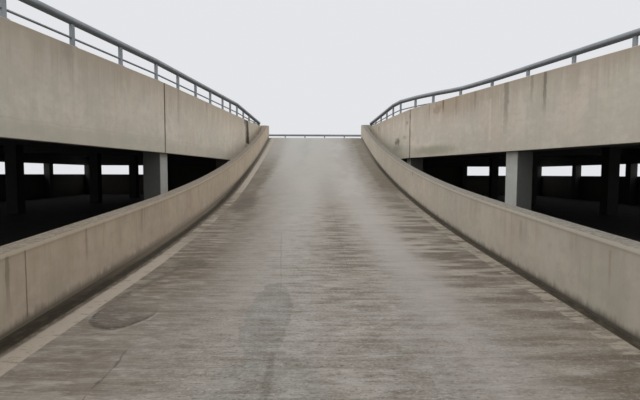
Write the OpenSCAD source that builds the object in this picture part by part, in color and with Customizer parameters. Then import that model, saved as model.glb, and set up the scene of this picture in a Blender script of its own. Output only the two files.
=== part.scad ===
// Two storey open car park in concrete, with a straight ramp that climbs
// through a funnel shaped void from the ground to the roof deck.
// +Y runs up the ramp, +X to the right, +Z up. The origin is at ground level,
// on the axis of the ramp, halfway along the building. Sizes are millimetres.

/* [Plan] */
// From the axis of the ramp to the outer face of each side wall
half_width = 18000; // [14000:100:19500]
// From the toe of the ramp to the first line of columns
first_line = 4440; // [2500:10:6000]
// Spacing of the columns along the ramp
ramp_bay = 5300; // [4500:50:6000]
// Spacing of the columns behind the head of the ramp
rear_bay = 5000; // [4000:50:5600]
// From the outer face of each side wall to the middle row of columns in its hall
hall_row_in = 6000; // [5000:100:7200]

/* [Levels] */
// Top of the ground floor above the ground
floor_z = 100; // [60:10:250]
// Top of the roof deck above the ground
deck_z = 3670; // [3300:10:4200]
// Thickness of the roof deck
deck_t = 250; // [180:10:400]
// Underside of the fascia panels and edge beams
fascia_bottom = 2350; // [2100:10:2600]
// Underside of the panels on the left of the void
left_panel_bottom = 2290; // [2100:10:2600]
// Height of the parapet above the roof deck
parapet_h = 580; // [300:10:900]
// Top of the sill walls above the ground
sill_top = 1650; // [1000:10:1900]

/* [Ramp] */
// Clear width between the ramp walls
ramp_w = 5000; // [3500:50:5400]
// Thickness of the ramp walls
ramp_wall_t = 220; // [120:10:300]
// Height of the left ramp wall above the ramp
left_wall_h = 640; // [500:10:900]
// Height of the right ramp wall above the ramp
right_wall_h = 700; // [500:10:900]
// Thickness of the ramp slab
ramp_t = 300; // [200:10:450]
// Height of the blunt toe of the ramp
toe_z = 40; // [20:5:80]
// Rise in each metre along the straight foot, in millimetres
foot_rise = 62; // [30:1:90]
// Length of the straight foot of the ramp
foot_run = 8700; // [6000:100:10000]
// Length of the stretch that steepens
sag_run = 17000; // [14000:100:18000]
// Length of the rounding at the head
crest_run = 800; // [400:50:2000]
// Width of the gutter along the left ramp wall
left_gutter_w = 280; // [80:10:350]
// Width of the gutter along the right ramp wall
right_gutter_w = 130; // [80:10:350]
// Depth of the gutters
gutter_d = 25; // [10:5:60]
// Thickness of the wall under the head of the ramp
end_wall_t = 250; // [150:10:400]

/* [Void] */
// From the axis to the left edge of the void at the front
left_void_front = 6220; // [5000:10:8000]
// From the axis to the left edge of the void at its bend
left_void_bend = 4240; // [3600:10:4900]
// From the toe of the ramp to the bend in the left edge
left_bend_y = 15220; // [12500:10:18000]
// From the axis to the right edge of the void at the front
right_void_front = 8600; // [6500:10:9400]
// From the axis to the right edge of the void at its bend
right_void_bend = 3670; // [3300:10:4900]
// From the toe of the ramp to the bend in the right edge
right_bend_y = 19820; // [16500:10:22500]
// Gap between the ramp wall and the edge of the void at the head
void_head_gap = 150; // [60:10:300]

/* [Panels and beams] */
// Thickness of the fascia panels
panel_t = 160; // [100:10:250]
// Width of the open joints between the panels
panel_joint = 30; // [10:5:60]
// Chamfer down the joints between the panels beside the void
panel_chamfer = 15; // [5:1:30]
// Length of the last panel on the left, at the head of the ramp
left_end_panel = 2900; // [1500:100:4500]
// From the toe of the ramp to the first joint on the right
right_joint_y = 8820; // [6500:10:11000]
// Width of the edge beams beside the void
edge_beam_w = 550; // [400:10:800]
// Width of the beams along the outer walls
wall_beam_w = 440; // [300:10:600]
// Width of the cross beams
cross_beam_w = 400; // [300:10:600]
// Depth of the cross beams under the deck
cross_beam_h = 600; // [300:10:700]

/* [Columns and walls] */
// Width of the edge columns across the edge of the void
edge_column_w = 520; // [350:10:550]
// Depth of the edge columns along the edge of the void
edge_column_d = 450; // [300:10:600]
// From the toe of the ramp to the third edge column on the left
left_third_column = 15450; // [14000:10:16500]
// From the toe of the ramp to the fourth edge column on the left
left_fourth_column = 21400; // [19000:10:22500]
// From the toe of the ramp to the third edge column on the right
right_third_column = 14800; // [13500:10:16500]
// Side of the square columns inside the halls
hall_column = 450; // [300:10:600]
// Side of the square piers behind the sill walls
pier = 400; // [300:10:430]
// Thickness of the sill walls
sill_t = 200; // [170:10:300]
// Number of bays between the piers of the rear wall
rear_wall_bays = 6; // [4:1:8]
// Number of bays at each end of the rear wall that stay open above the sill
rear_open_bays = 1; // [1:1:2]

/* [Handrails] */
// Diameter of the top tube
rail_d = 158; // [60:2:158]
// Height of the middle of the top tube above the parapet
rail_h = 508; // [350:1:700]
// Diameter of the lower bar
bar_d = 45; // [30:1:60]
// Height of the lower bar above the parapet
bar_h = 170; // [100:5:250]
// Width of a post along the rail
post_w = 85; // [50:5:120]
// Thickness of a post across the rail
post_t = 60; // [40:5:100]
// Largest spacing of the posts
post_gap = 1600; // [1000:50:2500]
// Largest spacing of the posts near the head of the ramp
end_post_gap = 1050; // [800:50:1600]
// How far before the head the posts of the left rail begin to stand closer
left_close_run = 5900; // [4500:100:8000]
// How far before the bend of its parapet the left rail bends
left_rail_lead = 270; // [0:10:600]
// How far the rails beside the ramp come down at the head
rail_fall = 340; // [150:10:360]
// Length over which the left rail comes down
rail_fall_run = 4000; // [2500:100:4400]
// How far behind the edge the right rail stands at its front end
right_rail_front_back = 400; // [250:10:1500]
// How far behind the edge the right rail stands where its turn begins
right_rail_back = 1080; // [700:10:1500]
// How far before the bend of its parapet the right rail begins to turn
right_turn_lead = 2920; // [2000:20:4000]
// Length over which it comes forward to the parapet
right_rail_turn = 4300; // [3500:100:5000]
// Clearance between handrails that end at a corner
rail_clear = 20; // [5:5:60]

/* [Hidden] */

CONCRETE = [0.63, 0.60, 0.56];
PAVING = [0.52, 0.49, 0.46];
FRAME = [0.50, 0.49, 0.47];
STEEL = [0.42, 0.44, 0.46];

LEFT = -1;
RIGHT = 1;

// Levels that follow from the sizes above
parapet_top = deck_z + parapet_h;
deck_soffit = deck_z - deck_t;
cross_soffit = deck_soffit - cross_beam_h;

// Ramp
foot_grade = foot_rise / 1000;
ramp_run = foot_run + sag_run + crest_run;
head_grade = 2 * (deck_z - toe_z - foot_grade * (foot_run + sag_run / 2)) / (sag_run + crest_run);
sag_end = foot_run + sag_run;
sag_end_z = toe_z + foot_grade * sag_end + (head_grade - foot_grade) * sag_run / 2;
ramp_wall_x = ramp_w / 2 + ramp_wall_t;
SAG_STEPS = 20;
CREST_STEPS = 8;

// Lines of columns, measured from the toe of the ramp
head_line = ramp_run + cross_beam_w / 2;
ramp_lines = [for (i = [1:3]) first_line + i * ramp_bay];
rear_mid_line = head_line + rear_bay;
last_line = head_line + 2 * rear_bay;
front_y = first_line - pier / 2 - sill_t;
rear_y = last_line + pier / 2 + sill_t;
hall_lines = concat(ramp_lines, [head_line, rear_mid_line]);
wall_lines = concat([first_line], ramp_lines, [head_line, rear_mid_line, last_line]);

// Ends of the walls and panels
beam_in = panel_t + wall_beam_w;
nose_r = (ramp_wall_t + void_head_gap + panel_t) / 2;
void_end_y = ramp_run - nose_r;
left_end_joint_y = void_end_y - left_end_panel;
wall_joint_lines = [ramp_lines[0], ramp_lines[2], rear_mid_line];
rear_pier_gap = 2 * (half_width - sill_t - pier / 2) / rear_wall_bays;
hall_row_x = half_width - hall_row_in;
rail_in = panel_t / 2;
rail_end_y = void_end_y - post_w;
left_column_lines = [first_line, ramp_lines[0], left_third_column, left_fourth_column];
right_column_lines = [first_line, ramp_lines[0], right_third_column, ramp_lines[2]];
// Swelling of the weld where the top tube bends
weld = 3;
// Sides that a round tube is drawn with
TUBE_SIDES = 24;
// Length of tube beyond a bend, up to the joint with the next stretch
JOINT_REACH = 200;
// Share of the right handrail's last stretch that stays level before it comes down
RIGHT_LEVEL_SHARE = 0.209;
// Turn of the right handrail: shares of its length, and of its distance behind the edge
RAIL_TURN = [[0.34, 0.945], [0.58, 0.607], [0.775, 0.333]];

// Height of the ramp above the ground at y, measured from its toe
function ramp_z(y) =
    y < foot_run ? toe_z + foot_grade * y :
    y < sag_end ? toe_z + foot_grade * y + (head_grade - foot_grade) * pow(y - foot_run, 2) / (2 * sag_run) :
    y < ramp_run ? sag_end_z + head_grade * (y - sag_end) - head_grade * pow(y - sag_end, 2) / (2 * crest_run) :
    deck_z;

ramp_stations = concat([0, foot_run],
    [for (i = [1:SAG_STEPS]) foot_run + sag_run * i / SAG_STEPS],
    [for (i = [1:CREST_STEPS]) sag_end + crest_run * i / CREST_STEPS]);

// Distance from the axis to the edge of the void at y, on one side
function void_head_x() = ramp_wall_x + void_head_gap;
function bend_y(side) = side == LEFT ? left_bend_y : right_bend_y;
function bend_x(side) = side == LEFT ? left_void_bend : right_void_bend;
function front_x(side) = side == LEFT ? left_void_front : right_void_front;
function edge_x(side, y) = y < bend_y(side)
    ? bend_x(side) + (front_x(side) - bend_x(side)) * (bend_y(side) - y) / (bend_y(side) - front_y)
    : bend_x(side) + (void_head_x() - bend_x(side)) * (y - bend_y(side)) / (ramp_run - bend_y(side));

// Turn of the void's edge at y, in degrees from the axis
function edge_turn(side, y) = atan2(edge_x(side, y) - edge_x(side, y + 10), 10);

// The model is drawn from the toe of the ramp, then moved back by half its length
module site() translate([0, -rear_y / 2, 0]) children();

module block(x0, x1, y0, y1, z0, z1)
    translate([min(x0, x1), y0, z0]) cube([abs(x1 - x0), y1 - y0, z1 - z0]);

// A profile of points along the ramp and up, drawn out across it
module across(x0, x1, points)
    translate([x0, 0, 0]) rotate([90, 0, 90]) linear_extrude(x1 - x0) polygon(points);

// A strip that follows the edge of the void from y0 to y1, between two offsets behind it
module edge_strip(side, y0, y1, in0, in1, z0, z1) {
    bend = bend_y(side);
    stations = y0 < bend && bend < y1 ? [y0, bend, y1] : [y0, y1];
    translate([0, 0, z0]) linear_extrude(z1 - z0) polygon(concat(
        [for (y = stations) [side * (edge_x(side, y) + in0), y]],
        [for (i = [len(stations) - 1:-1:0]) [side * (edge_x(side, stations[i]) + in1), stations[i]]]));
}

module tube(from, to, d) {
    run = to - from;
    translate(from) rotate([0, acos(run[2] / norm(run)), atan2(run[1], run[0])])
        cylinder(h = norm(run), d = d, $fn = TUBE_SIDES);
}

// A handrail follows a path of points. Each point holds x, y, the level that its post stands
// on, how far the top tube has come down from its full height, and the largest spacing of the
// posts from there on
rail_top = parapet_top + rail_h;

module rail_bars(a, b) {
    low = parapet_top + bar_h;
    share = bar_h / rail_h;
    tube([a[0], a[1], rail_top - a[3]], [b[0], b[1], rail_top - b[3]], rail_d);
    tube([a[0], a[1], low - a[3] * share], [b[0], b[1], low - b[3] * share], bar_d);
}

// The post at p, turned to face across the way from a to b
module rail_post(p, a, b)
    translate([p[0], p[1], p[2]]) rotate([0, 0, atan2(b[1] - a[1], b[0] - a[0])])
        translate([-post_w / 2, -post_t / 2, 0]) cube([post_w, post_t, rail_top - p[3] - p[2]]);

module rail_posts(a, b, last_post) {
    steps = ceil(norm([b[0] - a[0], b[1] - a[1]]) / a[4]);
    for (i = [0:last_post ? steps : steps - 1])
        rail_post([for (k = [0:3]) k == 2 ? a[k] : a[k] + (b[k] - a[k]) * i / steps], a, b);
}

module rail_bend(p)
    translate([p[0], p[1], rail_top - p[3]]) sphere(d = rail_d + 2 * weld, $fn = TUBE_SIDES);

module handrail(path) {
    last = len(path) - 1;
    for (i = [0:last - 1]) {
        rail_bars(path[i], path[i + 1]);
        rail_posts(path[i], path[i + 1], i == last - 1);
    }
    if (last > 1) for (i = [1:last - 1]) rail_bend(path[i]);
}

// Ground floor and ramp
module ground_floor() color(PAVING) site() difference() {
    block(-half_width + sill_t, half_width - sill_t, front_y + sill_t, rear_y - sill_t, 0, floor_z);
    block(-ramp_wall_x, ramp_wall_x, 0, ramp_run, -1, floor_z + 1);
}

module ramp_profile(x0, x1, drop) across(x0, x1, concat(
    [for (y = ramp_stations) [y, ramp_z(y) - drop]],
    [for (i = [len(ramp_stations) - 1:-1:0])
        [ramp_stations[i], max(0, ramp_z(ramp_stations[i]) - ramp_t)]]));

module ramp_slab() color(PAVING) site() {
    lane_left = -ramp_w / 2 + left_gutter_w;
    lane_right = ramp_w / 2 - right_gutter_w;
    ramp_profile(lane_left, lane_right, 0);
    ramp_profile(-ramp_w / 2, lane_left, gutter_d);
    ramp_profile(lane_right, ramp_w / 2, gutter_d);
}

module ramp_wall(side, wall_h) site() {
    x0 = side == LEFT ? -ramp_wall_x : ramp_w / 2;
    across(x0, x0 + ramp_wall_t, concat(
        [for (y = ramp_stations) [y, ramp_z(y) + wall_h]],
        [[ramp_run, 0], [0, 0]]));
    translate([side * (ramp_w / 2 + nose_r), ramp_run, deck_z])
        cylinder(h = wall_h, r = nose_r, $fn = 48);
}

module ramp_left_wall() color(CONCRETE) ramp_wall(LEFT, left_wall_h);
module ramp_right_wall() color(CONCRETE) ramp_wall(RIGHT, right_wall_h);

module ramp_end_wall() color(FRAME) site()
    block(-ramp_w / 2, ramp_w / 2, ramp_run - end_wall_t, ramp_run, 0, deck_z - ramp_t - gutter_d);

// Fascia panels beside the void, with an open joint between neighbours and a chamfer down
// the upright edges of each joint
module void_panel(side, y0, y1) site() {
    c0 = y0 == front_y ? 0 : panel_chamfer;
    c1 = y1 == void_end_y ? 0 : panel_chamfer;
    foot = side == LEFT ? left_panel_bottom : fascia_bottom;
    translate([0, 0, foot]) linear_extrude(parapet_top - foot) polygon([
        [side * (edge_x(side, y0) + panel_t), y0], [side * (edge_x(side, y0) + c0), y0],
        [side * edge_x(side, y0 + c0), y0 + c0], [side * edge_x(side, y1 - c1), y1 - c1],
        [side * (edge_x(side, y1) + c1), y1], [side * (edge_x(side, y1) + panel_t), y1]]);
}

module left_fascia_front() color(CONCRETE) void_panel(LEFT, front_y, left_bend_y - panel_joint / 2);
module left_fascia_middle() color(CONCRETE)
    void_panel(LEFT, left_bend_y + panel_joint / 2, left_end_joint_y - panel_joint / 2);
module left_fascia_end() color(CONCRETE) void_panel(LEFT, left_end_joint_y + panel_joint / 2, void_end_y);
module right_fascia_front() color(CONCRETE) void_panel(RIGHT, front_y, right_joint_y - panel_joint / 2);
module right_fascia_middle() color(CONCRETE)
    void_panel(RIGHT, right_joint_y + panel_joint / 2, right_bend_y - panel_joint / 2);
module right_fascia_end() color(CONCRETE) void_panel(RIGHT, right_bend_y + panel_joint / 2, void_end_y);

// Frame beside the void
module edge_beam(side) site() edge_strip(side, front_y + beam_in, ramp_run,
    panel_t, panel_t + edge_beam_w, fascia_bottom, deck_soffit);
module left_edge_beam() color(FRAME) edge_beam(LEFT);
module right_edge_beam() color(FRAME) edge_beam(RIGHT);

module edge_column(side, y) site()
    translate([side * (edge_x(side, y) + panel_t), y, floor_z])
        rotate([0, 0, side * edge_turn(side, y)])
            translate([side == LEFT ? -edge_column_w : 0, -edge_column_d / 2, 0])
                cube([edge_column_w, edge_column_d, fascia_bottom - floor_z]);
module left_edge_columns() color(FRAME) for (y = left_column_lines) edge_column(LEFT, y);
module right_edge_columns() color(FRAME) for (y = right_column_lines) edge_column(RIGHT, y);

// Columns inside the halls, and the cross beams that they carry
module hall_post(x, y) block(x - hall_column / 2, x + hall_column / 2,
    y - hall_column / 2, y + hall_column / 2, floor_z, cross_soffit);
module hall_columns() color(FRAME) site() for (side = [LEFT, RIGHT]) {
    for (y = hall_lines) hall_post(side * hall_row_x, y);
    for (y = [head_line, rear_mid_line]) hall_post(side * (void_head_x() + panel_t + edge_beam_w / 2), y);
}

module cross_beam(x0, x1, y) block(x0, x1, y - cross_beam_w / 2, y + cross_beam_w / 2,
    cross_soffit, deck_soffit);
module cross_beams() color(FRAME) site() {
    for (side = [LEFT, RIGHT], y = ramp_lines) difference() {
        cross_beam(side * edge_x(side, y), side * (half_width - beam_in), y);
        edge_strip(side, y - cross_beam_w, y + cross_beam_w, -edge_beam_w, panel_t + edge_beam_w, 0, deck_z);
    }
    for (y = [head_line, rear_mid_line]) cross_beam(-half_width + beam_in, half_width - beam_in, y);
}

// Roof deck in three slabs round the void
module side_deck(side) site() difference() {
    block(side * ramp_wall_x, side * (half_width - panel_t), front_y + panel_t, ramp_run, deck_soffit, deck_z);
    edge_strip(side, 0, ramp_run, -ramp_wall_x - edge_x(side, 0), panel_t, 0, deck_z + 1);
}
module roof_deck_left() color(PAVING) side_deck(LEFT);
module roof_deck_right() color(PAVING) side_deck(RIGHT);
module roof_deck_rear() color(PAVING) site()
    block(-half_width + panel_t, half_width - panel_t, ramp_run, rear_y - panel_t, deck_soffit, deck_z);

// Sill walls: an open strip runs between them and the fascia above
module side_sill(side) site()
    block(side * (half_width - sill_t), side * half_width, front_y, rear_y, 0, sill_top);
module left_sill_wall() color(CONCRETE) side_sill(LEFT);
module right_sill_wall() color(CONCRETE) side_sill(RIGHT);
module rear_sill_wall() color(CONCRETE) site() {
    block(-half_width + sill_t, half_width - sill_t, rear_y - sill_t, rear_y, 0, sill_top);
    // The middle bays are closed up to the fascia
    closed_x = half_width - sill_t - pier / 2 - rear_open_bays * rear_pier_gap;
    block(-closed_x, closed_x, rear_y - sill_t, rear_y, 0, fascia_bottom);
}
module front_sill_walls() color(CONCRETE) site() for (side = [LEFT, RIGHT])
    block(side * (edge_x(side, front_y) + panel_t), side * (hall_row_x + pier / 2),
        front_y, front_y + sill_t, 0, sill_top);

// Fascia panels of the outer walls
module side_fascia(side) site() {
    ends = concat([front_y], wall_joint_lines, [rear_y]);
    for (i = [0:len(ends) - 2])
        block(side * (half_width - panel_t), side * half_width,
            ends[i] + (i == 0 ? 0 : panel_joint / 2),
            ends[i + 1] - (i == len(ends) - 2 ? 0 : panel_joint / 2), fascia_bottom, parapet_top);
}
module left_wall_fascia() color(CONCRETE) side_fascia(LEFT);
module right_wall_fascia() color(CONCRETE) side_fascia(RIGHT);
module rear_wall_fascia() color(CONCRETE) site() {
    reach = half_width - panel_t;
    for (i = [-1:1])
        block(i * 2 / 3 * reach - reach / 3 + (i == -1 ? 0 : panel_joint / 2),
            i * 2 / 3 * reach + reach / 3 - (i == 1 ? 0 : panel_joint / 2),
            rear_y - panel_t, rear_y, fascia_bottom, parapet_top);
}
module front_wall_fascia() color(CONCRETE) site() for (side = [LEFT, RIGHT])
    block(side * (edge_x(side, front_y) + panel_t), side * (half_width - panel_t),
        front_y, front_y + panel_t, fascia_bottom, parapet_top);

// Beams and piers of the outer walls
module side_beam(side) site() block(side * (half_width - beam_in), side * (half_width - panel_t),
    front_y + panel_t, rear_y - panel_t, fascia_bottom, deck_soffit);
module left_wall_beam() color(FRAME) side_beam(LEFT);
module right_wall_beam() color(FRAME) side_beam(RIGHT);
module rear_wall_beam() color(FRAME) site() block(-half_width + beam_in, half_width - beam_in,
    rear_y - beam_in, rear_y - panel_t, fascia_bottom, deck_soffit);
module front_wall_beams() color(FRAME) site() for (side = [LEFT, RIGHT]) difference() {
    block(side * edge_x(side, front_y), side * (half_width - beam_in),
        front_y + panel_t, front_y + beam_in, fascia_bottom, deck_soffit);
    edge_strip(side, 0, ramp_run, -ramp_wall_x, panel_t, 0, deck_z);
}

module wall_pier(x, y) block(x - pier / 2, x + pier / 2, y - pier / 2, y + pier / 2, floor_z, fascia_bottom);
module left_wall_piers() color(FRAME) site()
    for (y = wall_lines) wall_pier(-half_width + sill_t + pier / 2, y);
module right_wall_piers() color(FRAME) site()
    for (y = wall_lines) wall_pier(half_width - sill_t - pier / 2, y);
module rear_wall_piers() color(FRAME) site() for (i = [1:rear_wall_bays - 1])
    wall_pier(-half_width + sill_t + pier / 2 + i * rear_pier_gap, last_line);
module front_wall_piers() color(FRAME) site()
    for (x = [-hall_row_x, hall_row_x]) wall_pier(x, first_line);

// Handrails
function rail_point(side, y, back, base, fall, gap = post_gap) =
    [side * (edge_x(side, y) + back), y, base, fall, gap];

module left_handrail() color(STEEL) site() handrail([
    rail_point(LEFT, front_y + rail_in, rail_in, parapet_top, 0),
    rail_point(LEFT, left_bend_y - left_rail_lead, rail_in, parapet_top, 0),
    rail_point(LEFT, void_end_y - left_close_run, rail_in, parapet_top, 0, end_post_gap),
    rail_point(LEFT, void_end_y - rail_fall_run, rail_in, parapet_top, 0, end_post_gap),
    rail_point(LEFT, rail_end_y, rail_in, parapet_top, rail_fall)]);

// The right handrail stands on the deck at the front, turns to its parapet and follows it
right_turn_y = right_bend_y - right_turn_lead;
right_front_path = [
    rail_point(RIGHT, front_y + beam_in, right_rail_front_back, deck_z, 0),
    rail_point(RIGHT, right_turn_y, right_rail_back, deck_z, 0)];
right_landing_y = right_turn_y + right_rail_turn;
right_end_path = [
    rail_point(RIGHT, right_landing_y, rail_in, parapet_top, 0, end_post_gap),
    rail_point(RIGHT, right_landing_y + RIGHT_LEVEL_SHARE * (rail_end_y - right_landing_y),
        rail_in, parapet_top, 0, end_post_gap),
    rail_point(RIGHT, rail_end_y, rail_in, parapet_top, rail_fall)];
right_turn_path = concat([right_front_path[1]],
    [for (t = RAIL_TURN)
        rail_point(RIGHT, right_turn_y + t[0] * right_rail_turn, t[1] * right_rail_back, deck_z, 0)],
    [right_end_path[0]]);

// The joint in the tubes just past the bend at a, on the way to b
function rail_joint(a, b) = a + (b - a) * JOINT_REACH / norm([b[0] - a[0], b[1] - a[1]]);
right_turn_start = rail_joint(right_turn_path[0], right_turn_path[1]);
right_turn_end = rail_joint(right_end_path[0], right_turn_path[len(RAIL_TURN)]);

module right_handrail_front() color(STEEL) site() {
    handrail(right_front_path);
    rail_bend(right_front_path[1]);
    rail_bars(right_front_path[1], right_turn_start);
}

module right_handrail_turn() color(STEEL) site() {
    last = len(RAIL_TURN);
    rail_bars(right_turn_start, right_turn_path[1]);
    for (i = [1:last - 1]) rail_bars(right_turn_path[i], right_turn_path[i + 1]);
    rail_bars(right_turn_path[last], right_turn_end);
    for (i = [1:last]) {
        rail_bend(right_turn_path[i]);
        rail_post(right_turn_path[i], right_turn_path[i - 1], right_turn_path[i + 1]);
    }
}

module right_handrail_end() color(STEEL) site() {
    rail_bars(right_turn_end, right_end_path[0]);
    rail_bend(right_end_path[0]);
    handrail(right_end_path);
}

// A straight handrail along an outer wall
module wall_handrail(x0, y0, x1, y1)
    handrail([[x0, y0, parapet_top, 0, post_gap], [x1, y1, parapet_top, 0, post_gap]]);

module side_handrail(side) site() wall_handrail(side * (half_width - rail_in), front_y + rail_in,
    side * (half_width - rail_in), rear_y - rail_in);
module left_wall_handrail() color(STEEL) side_handrail(LEFT);
module right_wall_handrail() color(STEEL) side_handrail(RIGHT);

module rear_wall_handrail() color(STEEL) site() {
    reach = half_width - rail_in - rail_d / 2 - rail_clear - post_w / 2;
    wall_handrail(-reach, rear_y - rail_in, reach, rear_y - rail_in);
}

module front_wall_handrails() color(STEEL) site() for (side = [LEFT, RIGHT]) {
    inner = edge_x(side, front_y) + rail_in + rail_d / 2 + rail_clear + post_w;
    outer = half_width - rail_in - rail_d / 2 - rail_clear - post_w / 2;
    wall_handrail(side * inner, front_y + rail_in, side * outer, front_y + rail_in);
}

ground_floor();
ramp_slab();
ramp_left_wall();
ramp_right_wall();
ramp_end_wall();
left_fascia_front();
left_fascia_middle();
left_fascia_end();
right_fascia_front();
right_fascia_middle();
right_fascia_end();
left_edge_beam();
right_edge_beam();
left_edge_columns();
right_edge_columns();
hall_columns();
cross_beams();
roof_deck_left();
roof_deck_right();
roof_deck_rear();
left_sill_wall();
right_sill_wall();
rear_sill_wall();
front_sill_walls();
left_wall_fascia();
right_wall_fascia();
rear_wall_fascia();
front_wall_fascia();
left_wall_beam();
right_wall_beam();
rear_wall_beam();
front_wall_beams();
left_wall_piers();
right_wall_piers();
rear_wall_piers();
front_wall_piers();
left_handrail();
right_handrail_front();
right_handrail_turn();
right_handrail_end();
left_wall_handrail();
right_wall_handrail();
rear_wall_handrail();
front_wall_handrails();
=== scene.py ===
"""Dresses the concrete car park: its ribbed ramp, cast walls, handrails and deck.

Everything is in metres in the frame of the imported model: +Y runs up the ramp, +X to the right
of that way and +Z up, with the ground at zero. "Along" means the distance from the ramp's toe.
"""

import logging
import math
from dataclasses import dataclass
from enum import Enum
from typing import Iterable, Optional, Union

import bmesh
import bpy
from mathutils import Matrix, Vector, noise


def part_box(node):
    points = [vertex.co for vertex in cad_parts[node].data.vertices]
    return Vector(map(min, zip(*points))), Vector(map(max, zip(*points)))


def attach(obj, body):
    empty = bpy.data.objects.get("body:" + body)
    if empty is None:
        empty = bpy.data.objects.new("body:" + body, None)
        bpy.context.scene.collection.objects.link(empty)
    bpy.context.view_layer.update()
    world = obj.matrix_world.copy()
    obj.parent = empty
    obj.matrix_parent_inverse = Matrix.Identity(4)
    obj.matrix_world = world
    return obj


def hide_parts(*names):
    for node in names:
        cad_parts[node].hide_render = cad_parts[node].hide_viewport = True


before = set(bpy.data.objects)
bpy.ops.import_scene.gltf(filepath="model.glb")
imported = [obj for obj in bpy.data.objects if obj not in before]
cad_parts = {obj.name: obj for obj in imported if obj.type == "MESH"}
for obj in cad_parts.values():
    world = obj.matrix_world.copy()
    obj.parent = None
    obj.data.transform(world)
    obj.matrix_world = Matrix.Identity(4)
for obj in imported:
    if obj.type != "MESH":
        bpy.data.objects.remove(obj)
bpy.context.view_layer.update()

log = logging.getLogger("car_park")

Socket = bpy.types.NodeSocket
Mesh = bmesh.types.BMesh
Colour = tuple[float, float, float]
Point = tuple[float, float, float]
Span = tuple[float, float]
Value = Union[float, "Term"]
Tone = Union[Colour, "Term"]

BODY = "root"
MERGE = 0.0002
OUTER_WALLS = ("left", "right", "rear", "front")

# Values that a mesh carries to its finish: height over the ramp, and depth below the ribs' tops
OVER_RAMP = "over_ramp"
GROOVE = "groove"

# The two worn wheel paths: their middle and half width along X
RIGHT_PATH = (1.15, 0.55)
LEFT_PATH = (-0.8, 0.6)

# Painted shade: the colour laid on concrete faces that look down
UNDERSIDE_SHADE: Colour = (0.03, 0.028, 0.024)
# Painted shade: the near-black laid on faces turned from the ramp, inside the building and over whole pieces
PAINTED_SHADE: Colour = (0.016, 0.015, 0.013)


class Side(Enum):
    """The two sides of the ramp, as signs along X."""

    LEFT = -1
    RIGHT = 1

    @property
    def word(self) -> str:
        """Returns the side's name, as the nodes spell it."""
        return self.name.lower()


class Slot(Enum):
    """Names of the record's material slots. A cast piece keeps one, but nothing here gives a piece its slot.
    """

    WALL = "wall_concrete"
    PAVING = "paving_concrete"
    FRAME = "frame_concrete"
    RAIL = "rail_steel"


class Term:
    """A value that a node gives. The usual signs work on it, and each adds a node."""

    def __init__(self, graph: "Graph", socket: Socket) -> None:
        """Keeps the graph that the value belongs to and the node's socket."""
        self.graph = graph
        self.socket = socket

    def __add__(self, other: Value) -> "Term":
        """Returns the sum."""
        return self.graph.math("ADD", self, other)

    def __sub__(self, other: Value) -> "Term":
        """Returns the difference."""
        return self.graph.math("SUBTRACT", self, other)

    def __rsub__(self, other: Value) -> "Term":
        """Returns another value less this one."""
        return self.graph.math("SUBTRACT", other, self)

    def __mul__(self, other: Value) -> "Term":
        """Returns the product."""
        return self.graph.math("MULTIPLY", self, other)

    def __truediv__(self, other: Value) -> "Term":
        """Returns the quotient."""
        return self.graph.math("DIVIDE", self, other)

    def __pow__(self, other: Value) -> "Term":
        """Returns the power."""
        return self.graph.math("POWER", self, other)

    def __abs__(self) -> "Term":
        """Returns the value without its sign."""
        return self.graph.math("ABSOLUTE", self)


def shade(tone: Colour, *shares: float) -> Colour:
    """Returns a colour made lighter or darker, by one share or by one each for red, green and blue."""
    return tuple(min(1.0, part * share) for part, share in zip(tone, shares * len(tone)))


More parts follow.
